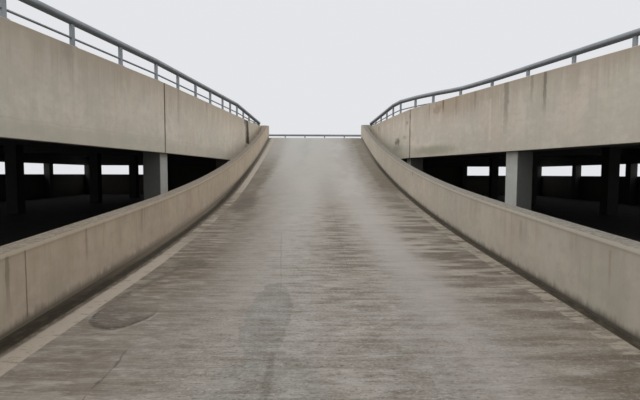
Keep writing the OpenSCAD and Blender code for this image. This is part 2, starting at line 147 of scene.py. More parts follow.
class Graph:
    """The node tree of one finish, with the colour that its coats have made so far."""

    SPECULAR = 0.35

    def __init__(self, name: str, base: Tone) -> None:
        """Starts a material.

        Args:
            name: the material's name.
            base: the colour below all coats.
        """
        self.material = bpy.data.materials.new(name)
        self.material.use_nodes = True
        self.tree = self.material.node_tree
        self.tree.nodes.clear()
        self.colour: Tone = base
        self.place = self.term("ShaderNodeTexCoord", output="Object")
        self.x, self.y, self.z = self.split(self.place)
        self.face_x, _, self.face_z = self.split(self.term("ShaderNodeNewGeometry", output="Normal"))

    def add(self, kind: str, *inputs: object, **settings: object) -> bpy.types.Node:
        """Adds a node.

        Args:
            kind: the node's type.
            inputs: terms or values for its first inputs, in order.
            settings: its properties.

        Returns:
            The node.
        """
        node = self.tree.nodes.new(kind)
        for key, value in settings.items():
            setattr(node, key, value)
        for socket, value in zip(node.inputs, inputs):
            self.put(socket, value)
        return node

    def put(self, socket: Socket, value: object) -> None:
        """Links a socket to a term, or sets its value.

        Args:
            socket: the input.
            value: a term, a number, a colour or a vector.
        """
        if isinstance(value, Term):
            self.tree.links.new(value.socket, socket)
        elif isinstance(value, tuple) and socket.type == "RGBA":
            socket.default_value = (*value, 1.0)
        else:
            socket.default_value = value

    def term(self, kind: str, *inputs: object, output: Union[int, str] = 0, **settings: object) -> Term:
        """Adds a node and returns one of its outputs as a term."""
        return Term(self, self.add(kind, *inputs, **settings).outputs[output])

    def split(self, vector: Term) -> list[Term]:
        """Returns the three parts of a vector."""
        return [Term(self, part) for part in self.add("ShaderNodeSeparateXYZ", vector).outputs]

    def math(self, operation: str, *values: Value) -> Term:
        """Returns the result of one sum on numbers."""
        return self.term("ShaderNodeMath", *values, operation=operation)

    def most(self, first: Value, *others: Value) -> Term:
        """Compares several values.

        Args:
            first: one of them.
            others: the rest.

        Returns:
            The largest.
        """
        for value in others:
            first = self.math("MAXIMUM", first, value)
        return first

    def smooth(self, value: Value, start: Value, end: Value) -> Term:
        """Returns 0 at start and 1 at end, with a soft step between them."""
        return self.term("ShaderNodeMapRange", value, start, end, interpolation_type="SMOOTHSTEP")

    def straight(self, value: Value, start: Value, end: Value, low: float = 0.0, high: float = 1.0) -> Term:
        """Returns low at start and high at end, with a straight line between them."""
        return self.term("ShaderNodeMapRange", value, start, end, low, high)

    def bell(self, value: Term, centre: Value, reach: Value) -> Term:
        """Returns 1 at the centre, falling softly to 0 at a distance."""
        return self.smooth(abs(value - centre), reach, 0.0)

    def within(self, value: Value, low: float, high: float, soft: float) -> Term:
        """Returns 1 between two values and 0 outside them, with soft ends."""
        return self.smooth(value, low - soft, low + soft) * self.smooth(value, high + soft, high - soft)

    def mix(self, share: Value, first: Tone, second: Tone) -> Term:
        """Mixes two colours.

        Args:
            share: how much of the second it has, from 0 to 1.
            first: the first colour.
            second: the second colour.

        Returns:
            The mixed colour.
        """
        node = self.add("ShaderNodeMix", data_type="RGBA")
        for name, value in (("Factor_Float", share), ("A_Color", first), ("B_Color", second)):
            self.put(next(socket for socket in node.inputs if socket.identifier == name), value)
        return Term(self, next(s for s in node.outputs if s.identifier == "Result_Color"))

    def lay(self, share: Value, tone: Tone) -> None:
        """Lays a coat over the colour so far, covering a share of it from 0 to 1."""
        self.colour = self.mix(share, self.colour, tone)

    def brighten(self, factor: Term) -> None:
        """Makes the colour so far lighter or darker.

        Args:
            factor: what its parts are multiplied by.
        """
        node = self.add("ShaderNodeVectorMath", self.colour, operation="SCALE")
        self.put(node.inputs["Scale"], factor)
        self.colour = Term(self, node.outputs[0])

    def attribute(self, name: str) -> Term:
        """Returns a value that the mesh carries."""
        return self.term("ShaderNodeAttribute", attribute_name=name, output="Fac")

    def stretched(self, scale: Point, shift: float) -> Term:
        """Returns the place on the piece, scaled along each axis and shifted."""
        return self.term("ShaderNodeVectorMath", self.place, scale, (shift, 1.7 * shift, 0.6 * shift),
                         operation="MULTIPLY_ADD")

    def noise(self, scale: Point, detail: float = 3.0, rough: float = 0.5, shift: float = 0.0) -> Term:
        """Returns cloudy noise from 0 to 1. Its scale is the number of clouds in a metre along each axis."""
        return self.term("ShaderNodeTexNoise", self.stretched(scale, shift), 0.0, 1.0, detail, rough)

    def pits(self, per_metre: float, size: float) -> Term:
        """Returns 1 in small round pits and 0 between them."""
        cells = self.term("ShaderNodeTexVoronoi", self.stretched((per_metre,) * 3, 0.0), 0.0, 1.0)
        return self.smooth(cells, size, 0.4 * size)

    def facing(self) -> tuple[Term, Term]:
        """Returns how far the surface faces up and down, each from 0 to 1."""
        return self.smooth(self.face_z, 0.75, 0.95), self.smooth(self.face_z, -0.4, -0.8)

    def finish(self, rough: Value, relief: Optional[Term] = None, depth: float = 0.002) -> bpy.types.Material:
        """Joins the colour, roughness and relief in a shader.

        Args:
            rough: the roughness.
            relief: height from 0 to 1, for the bump.
            depth: the bump's real depth.

        Returns:
            The material.
        """
        shader = self.add("ShaderNodeBsdfPrincipled")
        self.put(shader.inputs["Base Color"], self.colour)
        self.put(shader.inputs["Roughness"], rough)
        shader.inputs["Specular IOR Level"].default_value = self.SPECULAR
        if relief is not None:
            bump = self.add("ShaderNodeBump")
            bump.inputs["Strength"].default_value = 1.0
            bump.inputs["Distance"].default_value = depth
            self.put(bump.inputs["Height"], relief)
            self.tree.links.new(bump.outputs[0], shader.inputs["Normal"])
        output = self.add("ShaderNodeOutputMaterial")
        self.tree.links.new(shader.outputs[0], output.inputs[0])
        return self.material


@dataclass(frozen=True)
class RampLine:
    """The line of the ramp's surface: a straight foot, a stretch that steepens, and a crest."""

    toe_y: float
    deck_z: float
    toe_z: float = 0.04
    foot_grade: float = 0.062
    foot_run: float = 8.7
    sag_run: float = 17.0
    crest_run: float = 0.8
    foot_step: float = 0.75
    sag_cuts: int = 34
    crest_cuts: int = 8

    @property
    def run(self) -> float:
        """Returns the ramp's length in plan."""
        return self.foot_run + self.sag_run + self.crest_run

    @property
    def head_y(self) -> float:
        """Returns Y at the head of the ramp."""
        return self.toe_y + self.run

    @property
    def head_grade(self) -> float:
        """Returns the steepest grade, under the crest."""
        rise = self.deck_z - self.toe_z - self.foot_grade * (self.foot_run + self.sag_run / 2)
        return 2 * rise / (self.sag_run + self.crest_run)

    def height(self, y: float) -> float:
        """Works out the level of the ramp's surface.

        Args:
            y: the place along the ramp.

        Returns:
            The level.
        """
        along = min(max(y - self.toe_y, 0.0), self.run)
        bend = min(max(along - self.foot_run, 0.0), self.sag_run)
        crest = max(along - self.foot_run - self.sag_run, 0.0)
        gain = self.head_grade - self.foot_grade
        level = self.toe_z + self.foot_grade * (along - crest) + gain * bend ** 2 / (2 * self.sag_run)
        return level + self.head_grade * (crest - crest ** 2 / (2 * self.crest_run))

    def stations(self) -> list[float]:
        """Lists where a piece that follows the ramp is cut.

        Returns:
            The places along Y.
        """
        sag_y = self.toe_y + self.foot_run
        crest_y = sag_y + self.sag_run
        foot = [self.toe_y + self.foot_step * (i + 1) for i in range(int(self.foot_run / self.foot_step))]
        sag = [sag_y + self.sag_run * i / self.sag_cuts for i in range(self.sag_cuts)]
        return foot + sag + [crest_y + self.crest_run * i / self.crest_cuts for i in range(self.crest_cuts)]


@dataclass(frozen=True)
class Levels:
    """Levels of the building and the ramp's toe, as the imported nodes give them."""

    toe_y: float
    floor_z: float
    sill_top: float
    fascia_bottom: float
    left_panel_bottom: float
    deck_z: float
    parapet_top: float

    @classmethod
    def of_frame(cls) -> "Levels":
        """Reads the levels from the boxes of the nodes.

        Returns:
            The levels.
        """
        panel_low, panel_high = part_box("right_fascia_front")
        return cls(
            toe_y=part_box("ramp_slab")[0].y,
            floor_z=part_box("ground_floor")[1].z,
            sill_top=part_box("left_sill_wall")[1].z,
            fascia_bottom=panel_low.z,
            left_panel_bottom=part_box("left_fascia_front")[0].z,
            deck_z=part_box("roof_deck_rear")[1].z,
            parapet_top=panel_high.z,
        )


@dataclass(frozen=True)
class Fade:
    """A factor that is 1 as far as one distance along the ramp, and reaches another value at the next."""

    start: float = -10.0
    end: float = 0.0
    factor: float = 1.0

    def over(self, g: Graph, toe_y: float) -> Term:
        """Returns the factor along the ramp."""
        return g.straight(g.y, toe_y + self.start, toe_y + self.end, 1.0, self.factor)


class MarkShape(Enum):
    """How a stain is shaped."""

    RUN = "fades down from its top"
    LINE = "is even from its top to its foot"
    SPOT = "is round"


RUN, LINE, SPOT = MarkShape


@dataclass(frozen=True)
class Mark:
    """A stain on an upright face that looks across the ramp, placed along the ramp and by height."""

    shape: MarkShape
    along: float
    half_width: float
    low: float
    high: float
    tone: Colour
    strength: float
    lean: float = 0.0
    fray: float = 2.0

    def lay(self, g: Graph, toe_y: float, level: Term, edge: Term) -> None:
        """Lays the stain over the colour.

        Args:
            g: the graph.
            toe_y: Y at the toe of the ramp.
            level: height on the face.
            edge: noise that frays the stain.
        """
        fall = self.high - level
        centre = fall * self.lean + (toe_y + self.along)
        across = abs(g.y - centre) / (fall * self.lean + self.half_width)
        stray = edge * self.fray - 0.5 * self.fray
        height = self.high - self.low
        if self.shape is SPOT:
            up = fall * (2.0 / height) - 1.0
            share = g.smooth(g.math("SQRT", across * across + up * up) + stray, 1.2, 0.35)
        else:
            share = g.smooth(across + stray, 1.3, 0.5)
            if self.shape is RUN:
                share *= g.smooth(fall, height, 0.2 * height) * g.smooth(fall, -0.01, 0.015)
            else:
                share *= g.within(level, self.low, self.high, 0.01)
        g.lay(share * self.strength, self.tone)


@dataclass(frozen=True)
class FormedConcrete:
    """Concrete cast against smooth forms and weathered by rain.

    Levels are heights above the ground, or above the ramp where over_ramp is set.
    """

    name: str
    tone: Colour
    foot: float
    top: float
    toe_y: float = 0.0
    over_ramp: bool = False
    runs: float = 1.0
    run_reach: float = 0.9
    run_turns: float = 0.5
    cap: float = 0.6
    # Painted light: a factor that makes the colour lighter further along the ramp
    gain: Fade = Fade()
    tide: float = 0.0
    tide_slope: float = 0.0
    tide_from: float = 0.0
    veil: float = 0.0
    splash: Span = (0.0, 0.0)
    splash_fade: float = 1.0
    splash_fall: Fade = Fade()
    splash_tone: Colour = (0.040, 0.031, 0.019)
    lip: float = 0.0
    # Painted shade laid over the whole piece, as a share from 0 to 1
    soot: float = 0.0
    # Painted shade on the faces inside the building
    indoors: bool = False
    # Painted shade on the faces turned away from the ramp
    lit_side: bool = False
    marks: tuple[Mark, ...] = ()

    def make(self) -> bpy.types.Material:
        """Makes the finish.

        Returns:
            The material.
        """
        g = Graph(self.name, shade(self.tone, 0.90))
        level = g.attribute(OVER_RAMP) if self.over_ramp else g.z
        above, below = level - self.foot, self.top - level
        patch = g.noise((1.9, 1.9, 1.5), 4.0, 0.55, 7.7)
        fine_runs = g.noise((17.0, 17.0, self.run_turns), 4.0, 0.6, 1.9)
        grain = g.noise((55.0, 55.0, 55.0), 4.0, 0.6)
        self.lay_clouds(g, patch)
        self.lay_rain_marks(g, below, patch, fine_runs)
        if self.tide:
            self.lay_tide_marks(g, above)
        # Painted light: the colour is made lighter further along the ramp
        g.brighten(self.gain.over(g, self.toe_y))
        edge = g.noise((9.0, 9.0, 5.0), 4.0, 0.6, 6.6)
        for mark in self.marks:
            mark.lay(g, self.toe_y, level, edge)
        if self.splash[1]:
            self.lay_splashes(g, above)
        self.lay_faces(g, below)
        g.lay(grain * 0.32 - 0.05, shade(self.tone, 0.7))
        pores = g.pits(38.0, 0.16)
        g.lay(pores * g.smooth(patch, 0.4, 0.6) * 0.45, shade(self.tone, 0.4))
        return g.finish(patch * 0.2 + 0.76, grain * 0.5 + fine_runs * 0.4 - pores * 0.6, 0.0016)

    def lay_clouds(self, g: Graph, patch: Term) -> None:
        """Clouds and tints the bare concrete in broad patches.

        Args:
            g: the graph.
            patch: noise in patches of half a metre.
        """
        cloud = g.noise((0.5, 0.5, 0.7), 4.0, 0.55, 3.1)
        tint = g.noise((0.8, 0.8, 0.6), 4.0, 0.6, 11.3)
        mottle = g.noise((6.0, 6.0, 8.0), 4.0, 0.6, 13.1)
        g.lay(g.smooth(cloud, 0.36, 0.64), shade(self.tone, 1.07))
        g.lay(g.smooth(tint, 0.52, 0.64) * 0.65, shade(self.tone, 0.91, 0.98, 0.95))
        g.lay(g.smooth(tint, 0.47, 0.36) * 0.5, shade(self.tone, 1.03, 0.97, 0.94))
        g.lay(g.smooth(mottle, 0.5, 0.68) * 0.4, shade(self.tone, 0.80))
        g.lay(g.smooth(mottle, 0.48, 0.32) * 0.4, shade(self.tone, 1.16))
        g.lay(g.smooth(patch, 0.48, 0.66) * 0.7, shade(self.tone, 0.86, 0.87, 0.86))

    def lay_rain_marks(self, g: Graph, below: Term, patch: Term, fine_runs: Term) -> None:
        """Lays the dark and pale runs that rain draws down from the top.

        Args:
            g: the graph.
            below: distance below the top.
            patch: noise that makes the film uneven.
            fine_runs: noise drawn out down the face.
        """
        stain = shade(self.tone, 0.60, 0.55, 0.50)
        broad = g.noise((2.8, 2.8, 0.2), 4.0, 0.6, 5.3)
        reach = g.smooth(broad, 0.4, 0.66) * (1.5 * self.run_reach) + 0.25 * self.run_reach
        fade = g.smooth(below, reach, 0.0) * 0.78 + 0.22
        g.lay(g.smooth(fine_runs, 0.5, 0.66) * fade * (0.56 * self.runs), shade(self.tone, 0.62, 0.55, 0.46))
        under_top = g.smooth(below, 1.8 * self.run_reach, 0.3) * g.smooth(below, 0.0, 0.4 * self.run_reach)
        g.lay(g.smooth(fine_runs, 0.46, 0.34) * under_top * (0.26 * self.runs), shade(self.tone, 1.14))
        wide = g.smooth(broad, 0.5, 0.66) * g.smooth(below, 1.2 * self.run_reach, 0.0)
        g.lay(wide * (0.38 * self.runs), shade(self.tone, 0.78, 0.74, 0.68))
        even = patch * 0.5 + 0.75
        g.lay(g.smooth(below, 1.3, 0.3) * even * self.veil, stain)
        depth = g.smooth(fine_runs * 0.3 + broad * 1.2, 0.5, 1.0) * (1.2 * self.run_reach) + 0.2
        g.lay(g.smooth(below, depth, -0.1) * self.cap, stain)
        g.lay(g.smooth(below, 0.5, 0.04) * even * (0.62 * self.cap), stain)
        crust = g.smooth(below, patch * 0.2 + 0.02, 0.012)
        g.lay(crust * (0.38 * self.runs), shade(self.tone, 0.60, 0.56, 0.50))
        if self.lip:
            g.lay(g.bell(below, 0.045, 0.024) * self.lip, shade(self.tone, 0.4))

    def lay_tide_marks(self, g: Graph, above: Term) -> None:
        """Lays the damp band along the foot and the wavy line over it.

        Args:
            g: the graph.
            above: height above the foot.
        """
        rise = (g.y - (self.toe_y + self.tide_from)) * self.tide_slope + (self.tide - 0.12)
        wave = g.noise((0.45, 0.45, 0.0), 4.0, 0.6, 2.2) * 0.24 + rise
        g.lay(g.smooth(above, wave, wave - 0.10) * 0.45, shade(self.tone, 0.76, 0.80, 0.75))
        g.lay(g.bell(above, wave - 0.01, 0.03) * 0.25, shade(self.tone, 0.66))

    def lay_splashes(self, g: Graph, above: Term) -> None:
        """Lays the dirt that rain throws up from the ground.

        Args:
            g: the graph.
            above: height above the foot.
        """
        low, high = self.splash
        ragged = g.noise((13.0, 13.0, 1.2), 4.0, 0.65, 4.9)
        climb = g.smooth(ragged, 0.33, 0.72) * (high - low) + low
        share = g.straight(above, climb, 0.0) ** self.splash_fade
        g.lay(share * self.splash_fall.over(g, self.toe_y) * 0.93, self.splash_tone)

    def lay_faces(self, g: Graph, below: Term) -> None:
        """Lays a painted highlight on the top's chamfers, the top's dirt, and painted shade underneath, away
        from the ramp, indoors and overall.

        Args:
            g: the graph.
            below: distance below the top.
        """
        upward, downward = g.facing()
        # Painted highlight: the tilted faces just under the top, the chamfers, are made paler
        chamfer_highlight = g.within(g.face_z, 0.12, 0.96, 0.03) * g.smooth(below, 0.04, 0.03)
        g.lay(chamfer_highlight * 0.5, shade(self.tone, 1.3, 1.32, 1.34))
        specks = g.noise((20.0, 20.0, 20.0), 4.0, 0.72, 4.4)
        film = g.mix(g.smooth(specks, 0.4, 0.62), shade(self.tone, 0.50, 0.52, 0.53),
                     shade(self.tone, 0.24, 0.25, 0.25))
        g.lay(upward * 0.85, film)
        # Painted shade on the faces that look down
        g.lay(downward * 0.85, UNDERSIDE_SHADE)
        # Painted shade: faces turned away from the ramp are laid over with near-black
        if self.lit_side:
            towards_ramp = g.smooth(g.face_x * g.math("SIGN", g.x) * -1.0, 0.4, 0.8)
            g.lay((1.0 - towards_ramp) * 0.855, PAINTED_SHADE)
        # Painted shade: faces inside the building are laid over with near-black
        if self.indoors:
            inner_x, front_y, rear_y, soft = 17.9, -14.42, 18.46, 0.02
            inside = (g.smooth(abs(g.x), inner_x, inner_x - soft) * g.smooth(g.y, front_y, front_y + soft)
                      * g.smooth(g.y, rear_y, rear_y - soft))
            g.lay(inside * 0.92, PAINTED_SHADE)
        # Painted shade laid over the whole piece
        if self.soot:
            g.lay(self.soot, PAINTED_SHADE)


@dataclass(frozen=True)
class Swing:
    """A sideways drift that begins at one distance along the ramp and is whole at another."""

    reach: float
    start: float
    end: float

    def at(self, along: float) -> float:
        """Returns the drift at a distance along the ramp."""
        share = min(max((along - self.start) / (self.end - self.start), 0.0), 1.0)
        return self.reach * share ** 2 * (3 - 2 * share)


class PavingGraph(Graph):
    """The paving's node tree, with the distances and noises that its coats share."""

    def __init__(self, name: str, base: Colour, toe_y: float, swings: tuple[Swing, ...]) -> None:
        """Starts the paving's material.

        Args:
            name: the material's name.
            base: the colour below all coats.
            toe_y: Y at the toe of the ramp.
            swings: how the left margin drifts towards the wall.
        """
        super().__init__(name, base)
        self.along = self.y - toe_y
        self.edge = self.noise((5.0, 3.0, 0.0), 4.0, 0.6, 3.7)
        self.patch = self.noise((2.6, 1.8, 0.0), 4.0, 0.6, 8.1)
        self.swung = self.x
        for swing in swings:
            self.swung += self.smooth(self.along, swing.start, swing.end) * swing.reach

    def blob(self, centre: Span, half: Span, edge: Term, soft: float, fray: float) -> Term:
        """Draws a round stain with a ragged edge, seen from above.

        Args:
            centre: its middle, across and along the ramp.
            half: half its width and half its length.
            edge: noise that frays the edge.
            soft: how soft the edge is, as a share of its size.
            fray: how far the noise moves the edge, as a share of its size.

        Returns:
            1 in the stain and 0 outside it.
        """
        across = (self.x - centre[0]) / half[0]
        along = (self.along - centre[1]) / half[1]
        away = self.math("SQRT", across ** 2.0 + along ** 2.0)
        return self.smooth(away + (edge * fray - 0.5 * fray), 1.0 + soft, 1.0 - soft)


@dataclass(frozen=True)
class RibbedPaving:
    """The ramp's paving: ribs across it, worn wheel paths, margins, dirt, stains and cracks."""

    toe_y: float
    left_margin: Span
    right_margin: Span
    left_gutter_x: float
    right_gutter_x: float
    swings: tuple[Swing, ...]
    name: str = "ribbed_paving"
    near: Colour = (0.284, 0.259, 0.234)
    middle: Colour = (0.385, 0.356, 0.322)
    far: Colour = (0.402, 0.385, 0.357)
    dirt: Colour = (0.122, 0.095, 0.062)
    far_dirt: Colour = (0.195, 0.169, 0.132)
    margin: Colour = (0.345, 0.292, 0.232)
    gutter: Colour = (0.024, 0.018, 0.0085)

    def make(self) -> bpy.types.Material:
        """Makes the finish.

        Returns:
            The material.
        """
        g = PavingGraph(self.name, self.near, self.toe_y, self.swings)
        self.lay_ground(g)
        dirt = g.mix(g.smooth(g.along, 12.0, 24.0), self.dirt, self.far_dirt)
        soiled = self.lane_dirt(g)
        g.lay(soiled, dirt)
        self.lay_streaks(g, dirt)
        self.lay_damp_stain(g)
        self.lay_spots(g)
        relief = self.lay_fine_marks(g, dirt)
        self.lay_margins(g)
        self.lay_cracks(g)
        self.lay_gutters(g)
        return g.finish(soiled * -0.1 + 0.88, relief, 0.004)

    def lay_ground(self, g: PavingGraph) -> None:
        """Makes the clean paving paler up the ramp, and tints it pink and green.

        Args:
            g: the graph.
        """
        tint = g.noise((0.9, 0.35, 0.0), 4.0, 0.6, 1.3)
        g.lay(g.straight(g.along, 6.0, 12.0), self.middle)
        g.lay(g.straight(g.along, 12.5, 23.0), self.far)
        g.lay(g.smooth(g.x, 0.0, 0.8) * g.smooth(g.along, 9.0, 6.0) * 0.45, shade(self.near, 0.76))
        g.lay(g.smooth(tint, 0.42, 0.6) * g.bell(g.x, 1.1, 0.9) * 0.6, (0.335, 0.297, 0.272))
        g.lay(g.smooth(tint, 0.6, 0.4) * g.bell(g.x, -0.45, 0.55) * 0.55, (0.330, 0.325, 0.295))

    def lane_dirt(self, g: PavingGraph) -> Term:
        """Spreads dirt along both sides and down the middle of the lane.

        Args:
            g: the graph.

        Returns:
            How much of it there is, from 0 to 1.
        """
        across = g.edge * 0.44 + (g.x - 0.22)
        entry = g.edge * 2.0 + (g.along - 1.0)
        drop = (g.smooth(g.along, 17.5, 24.0) * -0.62 + 0.92) * (g.smooth(entry, 6.3, 8.2) * 0.32 + 0.68)
        wide = g.smooth(across, -0.25, -1.85) * g.smooth(g.along, 22.0, 11.0)
        left = g.most(wide, g.smooth(across, -1.2, -1.75)) * drop
        right = g.smooth(across, 1.1, 1.95) * 0.76
        shoulder = g.smooth(across, 1.6, 2.0) * g.smooth(g.along, 12.0, 16.0)
        reach = g.smooth(g.along, 21.0, 11.0) * g.smooth(g.along, 6.0, 9.0)
        middle = g.bell(across, 0.36, 0.55) * reach * 0.38
        return g.most(left, right, middle, shoulder) * (g.patch * 0.8 + 0.60)

    def lay_streaks(self, g: PavingGraph, dirt: Term) -> None:
        """Lays the ragged streaks that lie across the lane.

        Args:
            g: the graph.
            dirt: the dirt's colour.
        """
        long_ones = g.noise((0.95, 5.2, 0.0), 3.0, 0.5, 2.6)
        short_ones = g.noise((1.9, 12.0, 0.0), 4.0, 0.6, 7.3)
        longer = g.smooth(g.x, 0.8, 1.5) * 0.55 + 0.2
        streaks = (long_ones - short_ones) * longer + short_ones
        across = g.edge * 0.6 + (g.x - 0.3)
        where = g.most(g.smooth(across, 1.15, 1.7), g.bell(across, 0.36, 0.75) * 0.75,
                       g.smooth(across, -1.1, -1.6) * 0.75, 0.10)
        reach = (g.smooth(g.along, 16.0, 9.5) * 0.90 + 0.10) * (g.smooth(g.along, 6.4, 8.2) * 0.5 + 0.5)
        g.lay(g.smooth(streaks, 0.505, 0.55) * where * reach * 0.82, g.mix(0.3, dirt, (0.07, 0.053, 0.036)))
        g.lay(g.smooth(streaks, 0.490, 0.44) * where * reach * 0.68, (0.340, 0.305, 0.255))

    def lay_damp_stain(self, g: PavingGraph) -> None:
        """Lays the dark round stain on the left, with its rim and the washed edge round it.

        Args:
            g: the graph.
        """
        damp = (0.098, 0.078, 0.062)
        body = g.blob((-1.735, 6.80), (0.265, 0.37), g.edge, 0.05, 0.25)
        inner = g.blob((-1.73, 6.84), (0.245, 0.345), g.edge, 0.10, 0.25)
        outer = g.blob((-1.722, 6.79), (0.28, 0.39), g.edge, 0.05, 0.25)
        corner = g.x * 3.8 + g.along * 2.7 + (6.6 - 18.4)
        faded = body * g.smooth(g.along, 7.3, 6.75) * g.smooth(corner, 1.05, 0.0) * (g.patch * 0.5 + 0.72)
        rim = (body - g.math("MINIMUM", inner, body)) * g.smooth(g.along, 6.95, 6.7)
        halo = outer - g.math("MINIMUM", body, outer)
        g.lay(halo * g.smooth(g.x, -1.8, -1.55) * g.smooth(g.along, 6.9, 6.6) * 0.5, (0.36, 0.32, 0.275))
        g.lay(faded * 0.85, damp)
        g.lay(rim * 0.78, shade(damp, 0.45))

    def lay_spots(self, g: PavingGraph) -> None:
        """Lays the dark trail and spots on the left, and the grey patch and smear in the middle.

        Args:
            g: the graph.
        """
        bend = g.smooth(g.along, 7.0, 8.3) * 0.22 - 1.95
        trail = g.bell(g.edge * 0.12 + (g.x - 0.06), bend, 0.09)
        tail = trail * g.within(g.along, 7.0, 8.55, 0.15) * g.smooth(g.patch, 0.32, 0.5)
        head = g.blob((-1.60, 8.45), (0.22, 0.22), g.edge, 0.3, 1.4)
        upper = g.blob((-1.70, 13.3), (0.24, 0.95), g.edge, 0.35, 1.2)
        low_spot = g.blob((-1.42, 7.25), (0.20, 0.09), g.edge, 0.4, 1.4)
        g.lay(g.most(tail * 0.85, head * 0.7, upper * 0.65, low_spot * 0.4), (0.088, 0.070, 0.052))
        crumbs = g.noise((7.0, 6.0, 0.0), 5.0, 0.7, 5.5)
        grey = g.most(g.blob((-0.45, 6.7), (0.20, 0.95), crumbs, 0.03, 0.85),
                      g.blob((-0.36, 5.2), (0.40, 0.9), crumbs, 0.15, 1.3) * 0.8)
        g.lay(grey * 0.92, (0.224, 0.213, 0.194))
        g.lay(g.blob((-0.345, 5.65), (0.03, 0.40), g.edge, 0.4, 0.6) * 0.6, (0.125, 0.115, 0.095))

    def lay_fine_marks(self, g: PavingGraph, dirt: Term) -> Term:
        """Lays grit, short scores and the dirt in the grooves, less where the paving is worn smooth.

        Args:
            g: the graph.
            dirt: the dirt's colour.

        Returns:
            The relief of the grit and scores.
        """
        scores = g.noise((8.0, 60.0, 0.0), 4.0, 0.65, 6.9)
        sand = g.noise((40.0, 55.0, 40.0), 4.0, 0.7, 9.2)
        blotch = g.noise((3.4, 6.5, 0.0), 4.0, 0.62, 15.1)
        paths = g.most(g.bell(g.x, *RIGHT_PATH), g.bell(g.x, *LEFT_PATH) * 0.6)
        share = ((paths * g.smooth(g.along, 6.0, 7.5) * -0.66 + 0.95)
                 * (g.smooth(g.along, 7.0, 15.0) * -0.92 + 1.0) * (g.smooth(g.x, 0.4, 1.2) * -0.28 + 1.0))
        gritty = g.smooth(g.x, -1.5, -0.7) + 0.45
        marks = (
            (g.smooth(blotch, 0.52, 0.66), 0.34, dirt),
            (g.smooth(blotch, 0.46, 0.34), 0.26, (0.38, 0.350, 0.315)),
            (g.attribute(GROOVE) * g.smooth(blotch, 0.34, 0.62), 0.42, shade(self.dirt, 0.8)),
            (g.smooth(scores, 0.53, 0.66), 0.46, shade(self.dirt, 0.75)),
            (g.smooth(scores, 0.45, 0.33), 0.30, (0.42, 0.385, 0.342)),
            (g.smooth(sand, 0.54, 0.68) * gritty, 0.38, (0.43, 0.395, 0.35)),
            (g.smooth(sand, 0.45, 0.32) * gritty, 0.5, shade(self.dirt, 0.6)),
            (g.pits(30.0, 0.20) * g.smooth(sand, 0.5, 0.6), 0.55, (0.055, 0.048, 0.042)),
        )
        for value, strength, tone in marks:
            g.lay(value * share * strength, tone)
        return (sand * 0.6 + scores * 0.4) * share

    def lay_margins(self, g: PavingGraph) -> None:
        """Lays the smooth pale strips beside the gutters.

        Args:
            g: the graph.
        """
        crumb = g.edge * 0.03 - 0.015
        flecks = g.noise((9.0, 24.0, 0.0), 4.0, 0.65, 12.4)
        breaks = g.noise((2.2, 4.6, 0.0), 4.0, 0.62, 19.7)
        chips = g.noise((4.0, 11.0, 0.0), 4.0, 0.65, 23.1)
        left = g.within(g.swung + crumb, *self.left_margin, 0.006)
        soiled = g.smooth(breaks, 0.36, 0.54) * g.smooth(g.along, 8.6, 10.5) * g.smooth(g.along, 16.0, 13.5)
        tone = g.mix(g.smooth(g.along, 12.0, 20.0), self.margin, (0.43, 0.385, 0.315))
        g.lay(left * (1.0 - soiled * 0.85) * 0.9, tone)
        g.lay(left * g.smooth(flecks, 0.56, 0.66) * 0.6, shade(self.margin, 0.42))
        whole = g.smooth(chips * 0.5 + breaks * 0.5, 0.53, 0.47) * g.smooth(g.along, 15.5, 13.0)
        right = g.within(g.x + crumb, *self.right_margin, 0.02) * whole * 0.84
        g.lay(right, g.mix(g.smooth(flecks, 0.5, 0.62), (0.350, 0.305, 0.248), shade(self.margin, 0.7)))

    def lay_cracks(self, g: PavingGraph) -> None:
        """Lays the long joint in the middle, the one beside it and the broken crack on the left.

        Args:
            g: the graph.
        """
        stray = g.noise((0.0, 1.6, 0.0), 5.0, 0.65, 4.1) * 0.16 - 0.08
        whole = g.noise((0.0, 7.0, 0.0), 3.0, 0.6, 14.4)
        line = g.along * -0.075 + 0.16 - stray * 0.35
        middle = g.bell(g.x, line, 0.010) * g.within(g.along, 7.55, 10.2, 0.6) * 0.32
        second = g.bell(g.x, stray * 0.3 + 0.37, 0.009) * g.within(g.along, 8.0, 12.5, 0.5) * 0.28
        broken = g.bell(g.x, stray - 1.415, g.smooth(whole, 0.52, 0.66) * 0.02 + 0.008)
        left = broken * g.smooth(g.along, 6.2, 5.95) * g.smooth(whole, 0.34, 0.47) * 0.66
        g.lay(g.most(middle, second, left), (0.052, 0.044, 0.036))

    def lay_gutters(self, g: PavingGraph) -> None:
        """Lays black grime in the gutters and on their banks.

        Args:
            g: the graph.
        """
        across = g.swung + (g.edge * 0.09 - 0.045)
        fade = g.smooth(g.along, 12.0, 24.0) * -0.55 + 0.97
        left, right = self.left_gutter_x, self.right_gutter_x
        silt = g.noise((16.0, 9.0, 0.0), 4.0, 0.65, 10.3)
        bank = g.mix(g.smooth(silt, 0.4, 0.62), (0.070, 0.055, 0.038), (0.140, 0.115, 0.086))
        g.lay(g.smooth(across, left + 0.080, left + 0.015) * fade, bank)
        grime = g.mix(g.smooth(silt, 0.46, 0.74), self.gutter, shade(self.gutter, 2.4))
        g.lay(g.smooth(across, left + 0.01, left - 0.07) * fade, grime)
        foot = g.smooth(g.along, 6.6, 10.5) * 0.8 + 0.1
        g.lay(g.smooth(across, left - 0.13, left - 0.21) * fade * foot, (0.190, 0.155, 0.112))
        channel = g.mix(g.smooth(silt, 0.42, 0.72), (0.038, 0.030, 0.018), (0.092, 0.074, 0.048))
        channel = g.mix(g.smooth(g.along, 19.0, 24.0), channel, (0.195, 0.172, 0.134))
        g.lay(g.smooth(g.edge * 0.03 + (g.x - 0.015), right + 0.012, right + 0.055) * 0.96, channel)


